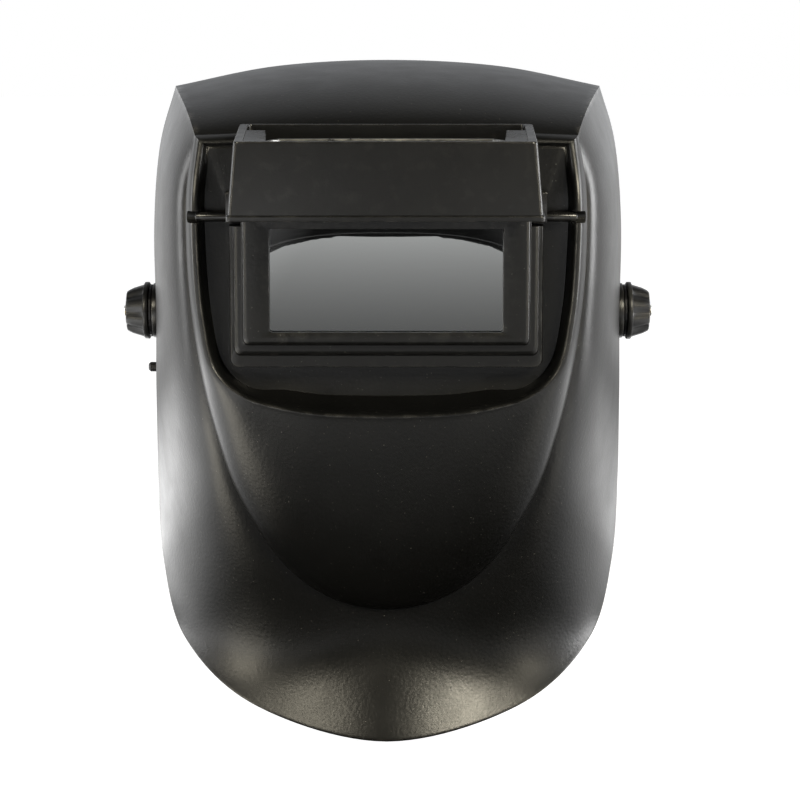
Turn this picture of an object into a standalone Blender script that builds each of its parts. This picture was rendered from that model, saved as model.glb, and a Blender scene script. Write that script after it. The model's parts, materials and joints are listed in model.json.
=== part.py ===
"""Welding helmet with a flip-up lens holder, a tilting shell and a ratchet headgear.

Frame: metres in Blender, millimetres in the constants below. The origin is the middle of
the axis through the two side pivots, +X is the wearer's left, -Y is the front, +Z is up.
"left" and "right" in the names of pieces are as seen from the front, so right is at +X.
The lens holder is drawn closed, against the window, and is then turned open about its hinge.
The headgear is drawn level, and is then leaned so that its forehead side is the higher one.
"""
import math

import bmesh
import bpy
from mathutils import Matrix, Vector

MM = 0.001
GAP = 0.3                       # clearance between pieces that touch

# ---- helmet shell ------------------------------------------------------------------------
WALL = 2.2                      # wall thickness of the moulded shell
FLOOR_Y = -122.0                # floor of the recess around the window
FLOOR_BACK_Y = FLOOR_Y + 2.4
RIDGE_WIDTH = 3.4               # thickness of the raised wall around the recess
COLUMNS_PER_TOP_SPAN = 3        # mesh columns between two stations of the brow
COLUMNS_PER_SIDE_SPAN = 3       # mesh columns between two stations of the side and chin
SKIN_ROWS = 8                   # mesh rows from the rim to the valley beside the muzzle
MUZZLE_ROWS = 6                 # mesh rows from the valley to the edge of the recess

# ---- window ------------------------------------------------------------------------------
WINDOW_Z = 26.9                 # centre height of the window and of every lens
WINDOW_HALF = (50.9, 22.5)      # half width and half height of the opening
LENS_HALF = (54.0, 25.4)        # a standard 108 x 51 lens
POCKET_HALF = (54.8, 26.1)
FRAME_Y = -140.0                # front face of the inner frame, which the holder fits over
SEAT_Y = -137.2                 # face that the clear cover lens bears on
STEP_Y = -135.3                 # face that the closed holder rests on
LEDGE_Y = -133.0                # outermost, lowest step of the window surround

# ---- flip-up lens holder -----------------------------------------------------------------
HINGE_Y, HINGE_Z = -128.0, 54.1
OPEN_ANGLE = math.radians(84.0)
HOLDER_RIM = -7.6               # depth of the holder's rear edge, seen from the hinge axis
HOLDER_FACE = -40.4             # depth of the holder's front edge
HOLDER_LENS_Z = WINDOW_Z - HINGE_Z
PIN_RADIUS = 2.2
PIN_ROOM = 2.6                  # radius of the open slots that the pins snap into
RIDGE_PIN_X = 83.7              # outer end of the hinge pins

# ---- side pivots -------------------------------------------------------------------------
PIVOT_WALL_IN, PIVOT_WALL_OUT = 111.4, 116.4     # flat faces of the shell's pivot pads
PIVOT_PAD_RADIUS = 13.6
STUD_RADIUS = 3.0
STUD_TIP = 131.0
KNOB_BASE, KNOB_TIP = PIVOT_WALL_OUT + 1.8, 129.4
BRACKET_HALF = (23.0, 10.5)     # the bracket's plate, which lies along the headband
RIVETS = ((-18.0, 3.0), (18.0, 3.0))             # along and across the band, from its middle
BRACKET_FACE = 108.0            # outer face of the bracket's flange
STOP_ARM = (108.3, 109.8)       # the tilt stop's arm lies between the flange and a washer
PEG_RADIUS_FROM_PIVOT = 28.2
PEG_ANGLES = (-24.0, 0.0, 24.0)  # the three holes that the tilt stop can be moved to

# ---- headgear ----------------------------------------------------------------------------
HEAD_LEAN = math.radians(30.0)
HEAD_LIFT = 6.0                 # height of the headband's middle above the pivot axis
BAND_HALF_WIDTH, BAND_HALF_LENGTH = 78.0, 98.0
BAND_THICKNESS = 1.8
BAND_HALF_HEIGHT = 12.0
FOREHEAD_POWER = 2.8            # the forehead is a superellipse, flatter than an ellipse
REAR_CORNER_RADIUS = 38.0
BAND_END_X = 31.0               # where the band's ends stop, inside the ratchet housing
CROWN_Y = 39.0                  # the crown strap starts this far behind the pivots
CROWN_SLOPE = 0.40              # and comes forward by this share of its height
CROWN_BASE, CROWN_HEIGHT = 14.0, 100.0    # where the strap leaves the band, and its top
HOUSING_HALF = (46.0, 16.0)
PINION_TEETH, PINION_MODULE = 14, 1.0
PINION_RADIUS = PINION_TEETH * PINION_MODULE / 2
RACK_PITCH = math.pi * PINION_MODULE
GEAR_Y = (98.5, 100.7)

# Stations of the shell's free form, for the half at +X, as (x, y, z). The first three run
# along the brow from its middle to the corner, the others down the side to the chin's middle.
RIM = [(0, 20, 123.3), (55, 16, 120.3), (104, 4, 110.6), (112.3, 10, 84), (116.2, 15, 45),
       (116.2, 17, 0), (116.3, 11, -42), (114.6, -8, -80), (109, -42, -117.5),
       (95, -78, -148.5), (60, -110, -171.5), (0, -128, -183)]
VALLEY = [(0, -121.8, 91.5), (44, -120.4, 91), (84.6, -116.5, 89.5), (88.4, -117, 66),
          (88.8, -117, 38), (86.8, -117, 10), (82.6, -117.5, -18), (76.5, -117, -44),
          (67, -114.5, -72), (48.5, -111.5, -103), (26, -110.2, -120.5), (0, -110, -126.2)]
EDGE = [(0, -124.4, 88.5), (42, -124, 88), (81.8, -122.8, 86.8), (84.6, -130.5, 63),
        (84.6, -132, 38), (82.6, -132.5, 11), (77.2, -134, -13), (64.5, -136.5, -25.3),
        (48, -138.3, -30.6), (32, -139.4, -33.2), (16, -139.9, -34.2), (0, -140, -34.5)]
# How far each station's inner wall follows the muzzle: 0 runs flat behind the ridge, 1 hugs it.
HUG = [0, 0, 0, 0, 0, 0, 0.25, 0.75, 1, 1, 1, 1]
TOP_STATIONS = 3


def clear_scene():
    for item in list(bpy.data.objects):
        bpy.data.objects.remove(item, do_unlink=True)


def material(name, colour, roughness, metallic=0.0, transmission=0.0):
    made = bpy.data.materials.new(name)
    made.use_nodes = True
    shader = made.node_tree.nodes["Principled BSDF"]
    shader.inputs["Base Color"].default_value = (*colour, 1.0)
    shader.inputs["Roughness"].default_value = roughness
    shader.inputs["Metallic"].default_value = metallic
    shader.inputs["Transmission Weight"].default_value = transmission
    made.diffuse_color = (*colour, 1.0)
    return made


# ---- mesh helpers ------------------------------------------------------------------------
def add_rings(bm, rings, join_ends=False):
    """Skin rings of equal length; flat caps close the ends unless the ends are joined."""
    rows = [[bm.verts.new(Vector(point) * MM) for point in ring] for ring in rings]
    pairs = list(zip(rows, rows[1:]))
    if join_ends:
        pairs.append((rows[-1], rows[0]))
    for low, high in pairs:
        for index in range(len(low)):
            after = (index + 1) % len(low)
            bm.faces.new((low[index], low[after], high[after], high[index]))
    if not join_ends:
        bm.faces.new(rows[0])
        bm.faces.new(rows[-1])


def add_plate(bm, outlines, thickness):
    """Extrude flat outlines, the first with the others as holes, by a thickness vector."""
    edges = []
    for outline in outlines:
        corners = [bm.verts.new(Vector(point) * MM) for point in outline]
        edges += [bm.edges.new((corners[i - 1], corners[i])) for i in range(len(corners))]
    if len(outlines) == 1:
        faces = [bm.faces.new(corners)]
    else:
        filled = bmesh.ops.triangle_fill(bm, use_beauty=True, use_dissolve=False, edges=edges)
        faces = [item for item in filled["geom"] if isinstance(item, bmesh.types.BMFace)]
    extruded = bmesh.ops.extrude_face_region(bm, geom=faces, use_keep_orig=True)
    moved = [item for item in extruded["geom"] if isinstance(item, bmesh.types.BMVert)]
    bmesh.ops.translate(bm, verts=moved, vec=Vector(thickness) * MM)


def make_object(name, bm, finish, parent=None, sharp=35.0):
    bmesh.ops.recalc_face_normals(bm, faces=bm.faces)
    mesh = bpy.data.meshes.new(name)
    bm.to_mesh(mesh)
    bm.free()
    mesh.shade_smooth()
    mesh.set_sharp_from_angle(angle=math.radians(sharp))
    made = bpy.data.objects.new(name, mesh)
    bpy.context.scene.collection.objects.link(made)
    if finish:
        mesh.materials.append(finish)
    made.parent = parent
    return made


def make_empty(name, location, lean=0.0):
    empty = bpy.data.objects.new(name, None)
    empty.location = Vector(location) * MM
    empty.rotation_euler = (lean, 0, 0)
    bpy.context.scene.collection.objects.link(empty)
    return empty


def combine(target, cutter, operation="DIFFERENCE"):
    """Add a Boolean with a hidden helper object to the target."""
    cutter.hide_render = True
    cutter.display_type = "WIRE"
    step = target.modifiers.new(operation.title(), "BOOLEAN")
    step.operation = operation
    step.solver = "EXACT"
    step.object = cutter
    cutter.parent = target.parent


def circle_x(x, radius, centre=(0.0, 0.0), sides=24, phase=0.0):
    """A circle of points around an axis along X."""
    turn = 2 * math.pi / sides
    return [(x, centre[0] + radius * math.cos(phase + turn * i),
             centre[1] + radius * math.sin(phase + turn * i)) for i in range(sides)]


def circle_y(y, radius, centre=(0.0, 0.0), sides=24, phase=0.0):
    """A circle of points around an axis along Y."""
    turn = 2 * math.pi / sides
    return [(centre[0] + radius * math.cos(phase + turn * i), y,
             centre[1] + radius * math.sin(phase + turn * i)) for i in range(sides)]


def rectangle(y, half_width, low, high, radius=2.0, steps=2, flare=0.0):
    """A rounded rectangle of points in the XZ plane at depth y, wider on top by the flare."""
    points = []
    top = half_width + flare
    corners = ((top, high, 0), (-top, high, 90), (-half_width, low, 180),
               (half_width, low, 270))
    for x, z, start in corners:
        centre_x = x - math.copysign(radius, x)
        centre_z = z - radius if z == high else z + radius
        for step in range(steps + 1):
            angle = math.radians(start + 90 * step / steps)
            points.append((centre_x + radius * math.cos(angle), y,
                           centre_z + radius * math.sin(angle)))
    return points


def shift(points, offset):
    return [tuple(a + b for a, b in zip(point, offset)) for point in points]


def rod(name, path, radius, finish, parent=None, sides=8):
    """A round wire along a path of points."""
    bm = bmesh.new()
    path = [Vector(point) for point in path]
    tangents = []
    for index in range(len(path)):
        before = path[max(index - 1, 0)]
        after = path[min(index + 1, len(path) - 1)]
        tangents.append((after - before).normalized())
    across = tangents[0].orthogonal().normalized()
    rings = []
    for point, tangent in zip(path, tangents):
        across = (across - tangent * across.dot(tangent)).normalized()
        other = tangent.cross(across)
        turns = [2 * math.pi * i / sides for i in range(sides)]
        rings.append([point + radius * (math.cos(a) * across + math.sin(a) * other)
                      for a in turns])
    add_rings(bm, rings)
    return make_object(name, bm, finish, parent)


def turned(name, rings, finish, parent=None, join_ends=False):
    bm = bmesh.new()
    add_rings(bm, rings, join_ends)
    return make_object(name, bm, finish, parent)


def lobed_x(x, radius, depth, lobes, sides=40):
    """A circle around X whose radius rises and falls with rounded lobes."""
    points = []
    for index in range(sides):
        angle = 2 * math.pi * index / sides
        reach = radius - depth * (0.5 + 0.5 * math.cos(lobes * angle))
        points.append((x, reach * math.cos(angle), reach * math.sin(angle)))
    return points


# ---- shell surface -----------------------------------------------------------------------
def mirrored(point):
    return Vector((-point[0], point[1], point[2]))


def through(stations, columns, start_ghost, end_ghost):
    """Catmull-Rom curve through stations, sampled at a number of columns for each span."""
    line = [start_ghost] + [Vector(point) for point in stations] + [end_ghost]
    points = []
    for span in range(len(stations) - 1):
        a, b, c, d = line[span:span + 4]
        for column in range(columns):
            t = column / columns
            points.append(0.5 * (2 * b + (c - a) * t + (2 * a - 5 * b + 4 * c - d) * t ** 2
                                 + (3 * b - a - 3 * c + d) * t ** 3))
    return points


def half_loop(stations):
    """The brow and the side-and-chin curves, which meet in a sharp corner."""
    points = [Vector(point) for point in stations]
    top = points[:TOP_STATIONS]
    side = points[TOP_STATIONS - 1:]
    corner_ghost = 2 * top[-1] - top[-2]
    side_ghost = 2 * side[0] - side[1]
    return (through(top, COLUMNS_PER_TOP_SPAN, mirrored(top[1]), corner_ghost)
            + through(side, COLUMNS_PER_SIDE_SPAN, side_ghost, mirrored(side[-2]))
            + [side[-1]])


def full_loop(half):
    return half + [mirrored(point) for point in half[-2:0:-1]]


def bezier(a, b, c, d, t):
    s = 1 - t
    return a * s ** 3 + b * (3 * s * s * t) + c * (3 * s * t * t) + d * t ** 3


def skin_controls():
    """Control stations of the outer skin, from the rim to the valley."""
    leaving, arriving = [], []
    last = len(RIM) - 1
    for index, (rim, valley) in enumerate(zip(RIM, VALLEY)):
        rim, valley = Vector(rim), Vector(valley)
        reach = rim - valley
        if index < TOP_STATIONS:
            leaving.append(rim + Vector((-0.02 * rim.x, -0.33 * reach.y, 0.5)))
            arriving.append(valley + Vector((0.30 * reach.x, 0.14 * reach.y, 0.78 * reach.z)))
        else:
            low = max(0.0, min(1.0, (index - 6) / (last - 6)))
            ahead = Vector((-3.4, -0.42 * reach.y, 0.10 * -reach.z))
            flare = Vector((-0.22 * reach.x, 0.04 * -reach.y, 0.36 * -reach.z))
            leaving.append(rim + ahead.lerp(flare + Vector((0, 8, 0)), low))
            round_over = Vector((0.54 * reach.x, 0.05 * reach.y, 0.30 * reach.z))
            hollow = Vector((0.35 * reach.x, 3.5, 0.42 * reach.z))
            arriving.append(valley + round_over.lerp(hollow, low))
    return leaving, arriving


def muzzle_controls(valley, edge):
    """Control stations of the muzzle, from the valley to the edge of the recess."""
    rising, crowning = [], []
    for low, high in zip(valley, edge):
        low, high = Vector(low), Vector(high)
        rise = low.y - high.y
        rising.append(low + Vector((0, -0.40 * rise, 0)) + 0.03 * (high - low))
        crowning.append(high + Vector((0.42 * (low.x - high.x), 0.10 * rise,
                                       0.42 * (low.z - high.z))))
    return rising, crowning


def rectangle_half(y, half_width, low, high, radius):
    """Half of a window-shaped loop whose points match the stations of the free form."""
    def blend(a, b, share):
        return Vector(a).lerp(Vector(b), share)

    middle_top, corner = (0, y, high), (half_width, y, high)
    side_end = (half_width, y, low + radius)
    bottom_start, middle_bottom = (half_width - radius, y, low), (0, y, low)
    top_columns = COLUMNS_PER_TOP_SPAN * (TOP_STATIONS - 1)
    points = [blend(middle_top, corner, i / top_columns) for i in range(top_columns)]
    side_columns = 4 * COLUMNS_PER_SIDE_SPAN
    points += [blend(corner, side_end, i / side_columns) for i in range(side_columns)]
    arc_columns = 2 * COLUMNS_PER_SIDE_SPAN
    for i in range(arc_columns):
        angle = math.pi / 2 * i / arc_columns
        points.append(Vector((half_width - radius + radius * math.cos(angle), y,
                              low + radius - radius * math.sin(angle))))
    end_columns = 3 * COLUMNS_PER_SIDE_SPAN
    points += [blend(bottom_start, middle_bottom, i / end_columns)
               for i in range(end_columns + 1)]
    return points


def inward(loop, distance):
    """Move the stations of a loop towards the middle of the recess, in the XZ plane."""
    centre = Vector((0, 0, WINDOW_Z + 3))
    moved = []
    for point in loop:
        point = Vector(point)
        along = Vector((point.x, 0, point.z - centre.z))
        steep = 1.0 if abs(along.x) > abs(along.z) else 0.92
        moved.append(point - along.normalized() * distance / steep)
    return moved


def shell_rows():
    """Closed rows of the shell: outside from rim to window, then inside back to the rim."""
    rim, valley, edge = (half_loop(loop) for loop in (RIM, VALLEY, EDGE))
    leaving, arriving = (half_loop(loop) for loop in skin_controls())
    rising, crowning = (half_loop(loop) for loop in muzzle_controls(VALLEY, EDGE))
    skin = []
    for row in range(SKIN_ROWS + 1):
        t = row / SKIN_ROWS
        skin.append(full_loop([bezier(*group, t)
                               for group in zip(rim, leaving, arriving, valley)]))
    muzzle = []
    for row in range(1, MUZZLE_ROWS + 1):
        t = row / MUZZLE_ROWS
        muzzle.append(full_loop([bezier(*group, t)
                                 for group in zip(valley, rising, crowning, edge)]))

    crest = [Vector((p.x, p.y - 0.5, p.z)) for p in inward(EDGE, RIDGE_WIDTH * 0.5)]
    brink = [Vector((p.x, p.y + 0.6, p.z)) for p in inward(EDGE, RIDGE_WIDTH)]
    foot = [Vector((p.x, FLOOR_Y, p.z)) for p in inward(EDGE, RIDGE_WIDTH + 1.4)]
    foot[TOP_STATIONS + 5:] = [Vector((p.x, FLOOR_Y, p.z + 3.2))
                               for p in foot[TOP_STATIONS + 5:]]
    recess = [full_loop(half_loop(loop)) for loop in (crest, brink, foot)]

    low, high = WINDOW_Z - WINDOW_HALF[1], WINDOW_Z + WINDOW_HALF[1]
    seat_low, seat_high = WINDOW_Z - POCKET_HALF[1], WINDOW_Z + POCKET_HALF[1]
    window = [full_loop(rectangle_half(*values)) for values in (
        (FLOOR_Y, 69.4, -12.9, 57.4, 3.5), (LEDGE_Y, 68.4, -11.7, 56.9, 3.5),
        (LEDGE_Y, 66.9, -6.4, 56.7, 3.0), (STEP_Y + 1.4, 66.7, -6.1, 56.6, 3.0),
        (STEP_Y, 65.0, -4.4, 56.6, 2.7),
        (STEP_Y, 62.9, -1.6, 56.3, 2.5), (FRAME_Y, 62.3, -0.9, 55.8, 2.5),
        (FRAME_Y, WINDOW_HALF[0], low, high, 1.0),
        (SEAT_Y, WINDOW_HALF[0], low, high, 1.0),
        (SEAT_Y, POCKET_HALF[0], seat_low, seat_high, 1.0),
        (FLOOR_BACK_Y, POCKET_HALF[0] + 0.4, seat_low - 0.4, seat_high + 0.4, 1.0))]

    inner_skin = offset_rows(skin, WALL)
    flat_edge = [Vector((p.x, FLOOR_BACK_Y, p.z)) for p in inward(EDGE, RIDGE_WIDTH)]
    hugging = [Vector(p) + Vector((0, WALL, 0)) for p in inward(EDGE, -0.6)]
    inner_edge = full_loop(half_loop([a.lerp(b, share) for a, b, share
                                      in zip(flat_edge, hugging, HUG)]))
    inner_foot = full_loop(half_loop(
        [Vector((p.x, FLOOR_BACK_Y, p.z)) - Vector((0, 0, 2.6 * share))
         for p, share in zip(inward(foot, 0.6), HUG)]))
    inner_muzzle = []
    valley_inside = inner_skin[-1]
    hug = half_loop([(share, 0, 0) for share in HUG])
    hug = [point.x for point in hug] + [point.x for point in hug[-2:0:-1]]
    outer_offset = offset_rows([skin[-1]] + muzzle, WALL)
    for row in range(1, MUZZLE_ROWS):
        t = row / MUZZLE_ROWS
        inner_muzzle.append([a.lerp(b, t).lerp(c, min(1.0, max(0.0, share)))
                             for a, b, c, share
                             in zip(valley_inside, inner_edge, outer_offset[row], hug)])
    inside = [inner_foot, inner_edge] + inner_muzzle[::-1] + inner_skin[::-1]
    return skin + muzzle + recess + window + inside


def offset_rows(rows, distance):
    """Move each point of a grid of rows inwards, square to the surface."""
    moved = []
    count = len(rows[0])
    for r, row in enumerate(rows):
        before, after = rows[max(r - 1, 0)], rows[min(r + 1, len(rows) - 1)]
        line = []
        for i, point in enumerate(row):
            around = row[(i + 1) % count] - row[i - 1]
            along = after[i] - before[i]
            line.append(point + around.cross(along).normalized() * distance)
        moved.append(line)
    return moved


def helmet_shell(finish):
    bm = bmesh.new()
    add_rings(bm, shell_rows(), join_ends=True)
    shell = make_object("helmet_shell", bm, finish, sharp=28)
    pads = bmesh.new()
    for side in (-1, 1):
        add_rings(pads, [circle_x(side * x, PIVOT_PAD_RADIUS)
                         for x in (PIVOT_WALL_IN, PIVOT_WALL_OUT)])
    combine(shell, make_object("pivot_pads", pads, None), "UNION")
    cutter = bmesh.new()
    for side in (-1, 1):
        add_rings(cutter, [circle_x(side * x, 5.0) for x in (105, 125)])
        slot = [(0, -150, HINGE_Z - PIN_ROOM), (0, -150, HINGE_Z + PIN_ROOM)]
        for step in range(7):
            angle = math.radians(90 - 180 * step / 6)
            slot.append((0, HINGE_Y + PIN_ROOM * math.cos(angle),
                         HINGE_Z + PIN_ROOM * math.sin(angle)))
        add_rings(cutter, [shift(slot, (side * x, 0, 0)) for x in (77, 92)])
        notch = [(0, -142, 50.2), (0, FLOOR_Y - 0.2, 50.2), (0, FLOOR_Y - 0.2, 62),
                 (0, -142, 62)]
        add_rings(cutter, [shift(notch, (side * x, 0, 0)) for x in (63.3, 73)])
    for angle in PEG_ANGLES:
        centre = peg_centre(angle)
        add_rings(cutter, [circle_x(x, 2.9, centre, 16) for x in (-105, -125)])
    combine(shell, make_object("shell_cutter", cutter, None))
    return shell


def peg_centre(angle_degrees):
    angle = math.radians(angle_degrees)
    return (PEG_RADIUS_FROM_PIVOT * math.sin(angle), -PEG_RADIUS_FROM_PIVOT * math.cos(angle))


# ---- lenses and their frames -------------------------------------------------------------
def lens_plate(name, rear, front, finish, parent=None, centre_z=WINDOW_Z):
    """A standard rectangular lens between two depths."""
    bm = bmesh.new()
    low, high = centre_z - LENS_HALF[1], centre_z + LENS_HALF[1]
    add_rings(bm, [rectangle(y, LENS_HALF[0], low, high, 1.0) for y in (rear, front)])
    return make_object(name, bm, finish, parent)


def lens_ring(name, sections, finish, parent=None, centre_z=WINDOW_Z):
    """A rectangular ring whose section is given as (depth, half width, half height)."""
    bm = bmesh.new()
    add_rings(bm, [rectangle(y, wide, centre_z - tall, centre_z + tall, 1.0)
                   for y, wide, tall in sections], join_ends=True)
    return make_object(name, bm, finish, parent)


def fixed_window(glass, rubber, plastic, steel):
    lens_plate("clear_cover_lens", SEAT_Y + GAP, SEAT_Y + 2.2, glass)
    wide, tall = LENS_HALF
    lens_ring("lens_gasket", [(SEAT_Y + 2.5, wide, tall), (SEAT_Y + 2.5, wide - 3, tall - 3),
                              (SEAT_Y + 3.7, wide - 3, tall - 3), (SEAT_Y + 3.7, wide, tall)],
              rubber)
    rear, front = SEAT_Y + 9.4, SEAT_Y + 4.0
    lens_ring("lens_retainer", [(front, wide, tall), (front, wide - 3, tall - 3),
                                (front + 2.4, wide - 3, tall - 3),
                                (front + 2.4, wide - 2, tall - 2),
                                (rear, wide - 2, tall - 2), (rear, wide, tall)], plastic)
    wire_y = rear + 1.3
    for side, name in ((-1, "left"), (1, "right")):
        x = side * (wide - 1.6)
        path = [(x + side * 1.6, wire_y, WINDOW_Z - 16), (x, wire_y + 0.6, WINDOW_Z - 12),
                (x - side * 0.5, wire_y + 0.2, WINDOW_Z), (x, wire_y + 0.6, WINDOW_Z + 12),
                (x + side * 1.6, wire_y, WINDOW_Z + 16)]
        rod("lens_spring_" + name, path, 0.8, steel)


# ---- flip-up lens holder -----------------------------------------------------------------
def flip_holder(hinge, plastic, rubber, shade, glass, steel):
    bm = bmesh.new()
    seat = HOLDER_FACE + 14.0
    pane_low, pane_high = HOLDER_LENS_Z - WINDOW_HALF[1], HOLDER_LENS_Z + WINDOW_HALF[1]
    rings = [rectangle(depth, wide, low, high, flare=flare)
             for depth, wide, low, high, flare in (
                 (HOLDER_RIM, 66.0, -59.3, 4.4, 0), (HOLDER_RIM - 2.2, 66.0, -59.3, 4.4, 0),
                 (HOLDER_RIM - 2.6, 65.2, -58.7, 3.9, 0),
                 (HOLDER_FACE, 62.5, -56.3, 2.9, 1.3), (HOLDER_FACE, 58.6, -54.4, 0.9, 1.3),
                 (seat, 58.2, -54.2, 0.7, 1.0), (seat, WINDOW_HALF[0], pane_low, pane_high, 0),
                 (seat + 2.2, WINDOW_HALF[0], pane_low, pane_high, 0),
                 (seat + 2.2, 61.6, -55.4, 0.9, 0), (HOLDER_RIM, 64.0, -57.4, 2.6, 0))]
    add_rings(bm, rings, join_ends=True)
    holder = make_object("flip_holder", bm, plastic, hinge)
    joined = bmesh.new()
    for side in (-1, 1):
        ear = [(0, -11.0, -2.3), (0, 2.4, -2.3), (0, 2.4, 2.6), (0, -11.0, 4.0)]
        add_rings(joined, [shift(ear, (side * x, 0, 0)) for x in (64.3, 70.4)])
    combine(holder, make_object("holder_ears", joined, None), "UNION")
    pins = bmesh.new()
    for side in (-1, 1):
        profile = ((68.0, PIN_RADIUS), (RIDGE_PIN_X - 1.0, PIN_RADIUS), (RIDGE_PIN_X, 1.4))
        add_rings(pins, [circle_x(side * x, radius, sides=12) for x, radius in profile])
    combine(holder, make_object("holder_pins", pins, None), "UNION")
    lugs = bmesh.new()
    for side in (-1, 1):
        lug = [(side * 47.5, -55.0), (side * 59.5, -55.0), (side * 59.5, -46.5),
               (side * 47.5, -50.5)]
        add_plate(lugs, [[(x, HOLDER_FACE + 0.4, z) for x, z in lug]], (0, 1.6, 0))
    combine(holder, make_object("holder_lugs", lugs, None), "UNION")

    wide, tall = LENS_HALF
    z = HOLDER_LENS_Z
    lens_ring("flip_gasket", [(seat - 0.3, wide, tall), (seat - 0.3, wide - 4, tall - 4),
                              (seat - 1.3, wide - 4, tall - 4), (seat - 1.3, wide, tall)],
              rubber, hinge, z)
    lens_plate("shade_lens", seat - 4.6, seat - 1.6, shade, hinge, z)
    lens_plate("flip_cover_lens", seat - 6.9, seat - 4.9, glass, hinge, z)
    wire_y = seat - 8.1
    path = [(-53, wire_y - 3.4, z - 8), (-52, wire_y - 0.9, z + 3), (-50, wire_y, z + 15),
            (-46, wire_y, z + 20), (-20, wire_y, z + 21), (20, wire_y, z + 21),
            (46, wire_y, z + 20), (50, wire_y, z + 15), (52, wire_y - 0.9, z + 3),
            (53, wire_y - 3.4, z - 8)]
    rod("flip_lens_spring", path, 0.8, steel, hinge)


# ---- side pivots -------------------------------------------------------------------------
def along_band(along, across):
    """A place on the headband's side, as (y, z) in the upright frame."""
    lean = Matrix.Rotation(-HEAD_LEAN, 3, "X")
    place = lean @ Vector((0, along, across))
    return place.y, place.z + HEAD_LIFT


def ring_section(low, high, outer, inner):
    """Section of a flat ring, as (depth, radius) corners."""
    return (low, outer), (high, outer), (high, inner), (low, inner)


def pivot_set(side, label, plastic, knob_plastic, steel, brass, fibre):
    def rings(profile, sides=24, phase=0.0):
        return [circle_x(side * x, radius, sides=sides, phase=phase) for x, radius in profile]

    bm = bmesh.new()
    long, tall = BRACKET_HALF
    outline = [along_band(-x, z) for x, _, z in rectangle(0, long, -tall, tall, 5.0, 3)]
    add_plate(bm, [[(side * 79.9, y, z) for y, z in outline]], (side * 2.4, 0, 0))
    bracket = make_object("pivot_bracket_" + label, bm, plastic)
    post = bmesh.new()
    add_rings(post, rings(((80.4, 11.6), (86, 10.8), (104, 10.6), (106, 14.0),
                           (BRACKET_FACE, 14.0))))
    combine(bracket, make_object("bracket_post_" + label, post, None), "UNION")
    lug = bmesh.new()
    corners = [(5.4, -9.7), (11.5, -5.0), (11.5, -21.0), (5.4, -21.0)]
    add_plate(lug, [[(side * (BRACKET_FACE - 2.2), y, z) for y, z in corners]],
              (side * 3.9, 0, 0))
    combine(bracket, make_object("bracket_lug_" + label, lug, None), "UNION")
    bore = bmesh.new()
    add_rings(bore, rings(((78.0, 7.2), (102.6, 7.2), (102.6, 3.4), (112, 3.4))))
    for place in RIVETS:
        add_rings(bore, [circle_x(side * x, 1.9, along_band(*place), 12) for x in (78, 84)])
    combine(bracket, make_object("bracket_bore_" + label, bore, None))

    for number, place in enumerate(RIVETS, start=1):
        inner = 75.6 if place[0] < 0 else 76.6
        profile = ((inner - 1.4, 2.2), (inner - 0.9, 3.4), (inner, 3.4), (inner, 1.5),
                   (82.7, 1.5), (82.7, 3.0), (83.4, 3.0), (84.0, 2.0))
        turned(f"bracket_rivet_{label}_{number}",
               [circle_x(side * x, radius, along_band(*place), 12) for x, radius in profile],
               steel)

    turned("pivot_stud_" + label,
           [circle_x(side * x, radius, sides=12) for x, radius in
            ((97.8, 6.0), (98.3, 6.6), (102.2, 6.6), (102.2, STUD_RADIUS),
             (STUD_TIP - 0.8, STUD_RADIUS), (STUD_TIP, 2.3))], steel)
    turned("friction_washer_" + label,
           rings(ring_section(STOP_ARM[1] + GAP, PIVOT_WALL_IN - GAP, 12.5, 5.4)), fibre,
           join_ends=True)
    turned("outer_washer_" + label,
           rings(ring_section(PIVOT_WALL_OUT + 0.3, PIVOT_WALL_OUT + 1.5, 13.0, 5.4)), steel,
           join_ends=True)

    outer = ((KNOB_BASE, 13.6), (KNOB_BASE, 14.2), (KNOB_BASE + 2.4, 14.2))
    body = ((KNOB_BASE + 2.6, 13.4), (KNOB_TIP - 1.0, 10.6), (KNOB_TIP, 9.6))
    knob_rings = [circle_x(side * x, radius, sides=40) for x, radius in outer]
    knob_rings += [lobed_x(side * x, radius, 1.3, 8) for x, radius in body]
    knob_rings += [circle_x(side * x, radius, sides=40) for x, radius in
                   ((KNOB_TIP, 5.6), (KNOB_TIP - 8.2, 5.6), (KNOB_TIP - 8.2, 3.5),
                    (KNOB_BASE, 3.5))]
    turned("tension_knob_" + label, knob_rings, knob_plastic, join_ends=True)
    turned("knob_insert_" + label,
           [circle_x(side * x, radius, sides=sides) for x, radius, sides in
            ((KNOB_TIP - 7.8, 5.2, 12), (KNOB_TIP - 0.6, 5.2, 12),
             (KNOB_TIP - 0.6, 3.4, 12), (KNOB_TIP - 7.8, 3.4, 12))], brass, join_ends=True)


def tilt_stop(plastic):
    """Adjustable stop: an eye on the pivot, an arm, and a peg through the shell's side."""
    bm = bmesh.new()
    reach = PEG_RADIUS_FROM_PIVOT
    outline = [(4.9, -9.0), (4.9, -reach)]
    for step in range(1, 6):
        angle = math.radians(-180 * step / 6)
        outline.append((4.9 * math.cos(angle), -reach + 4.9 * math.sin(angle)))
    outline += [(-4.9, -reach), (-4.9, -9.0)]
    for step in range(13):
        angle = math.radians(-115 - 310 * step / 12)
        outline.append((10.5 * math.cos(angle), 10.5 * math.sin(angle)))
    near, far = STOP_ARM
    add_plate(bm, [[(-near, y, z) for y, z in outline], circle_x(-near, 5.4, sides=16)],
              (near - far, 0, 0))
    arm = make_object("tilt_stop_arm", bm, plastic)
    peg = bmesh.new()
    centre = peg_centre(0.0)
    profile = ((-near - 0.7, 2.4), (-118.3, 2.4), (-119.2, 1.6))
    add_rings(peg, [circle_x(x, radius, centre, 14) for x, radius in profile])
    combine(arm, make_object("tilt_stop_peg", peg, None), "UNION")


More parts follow.
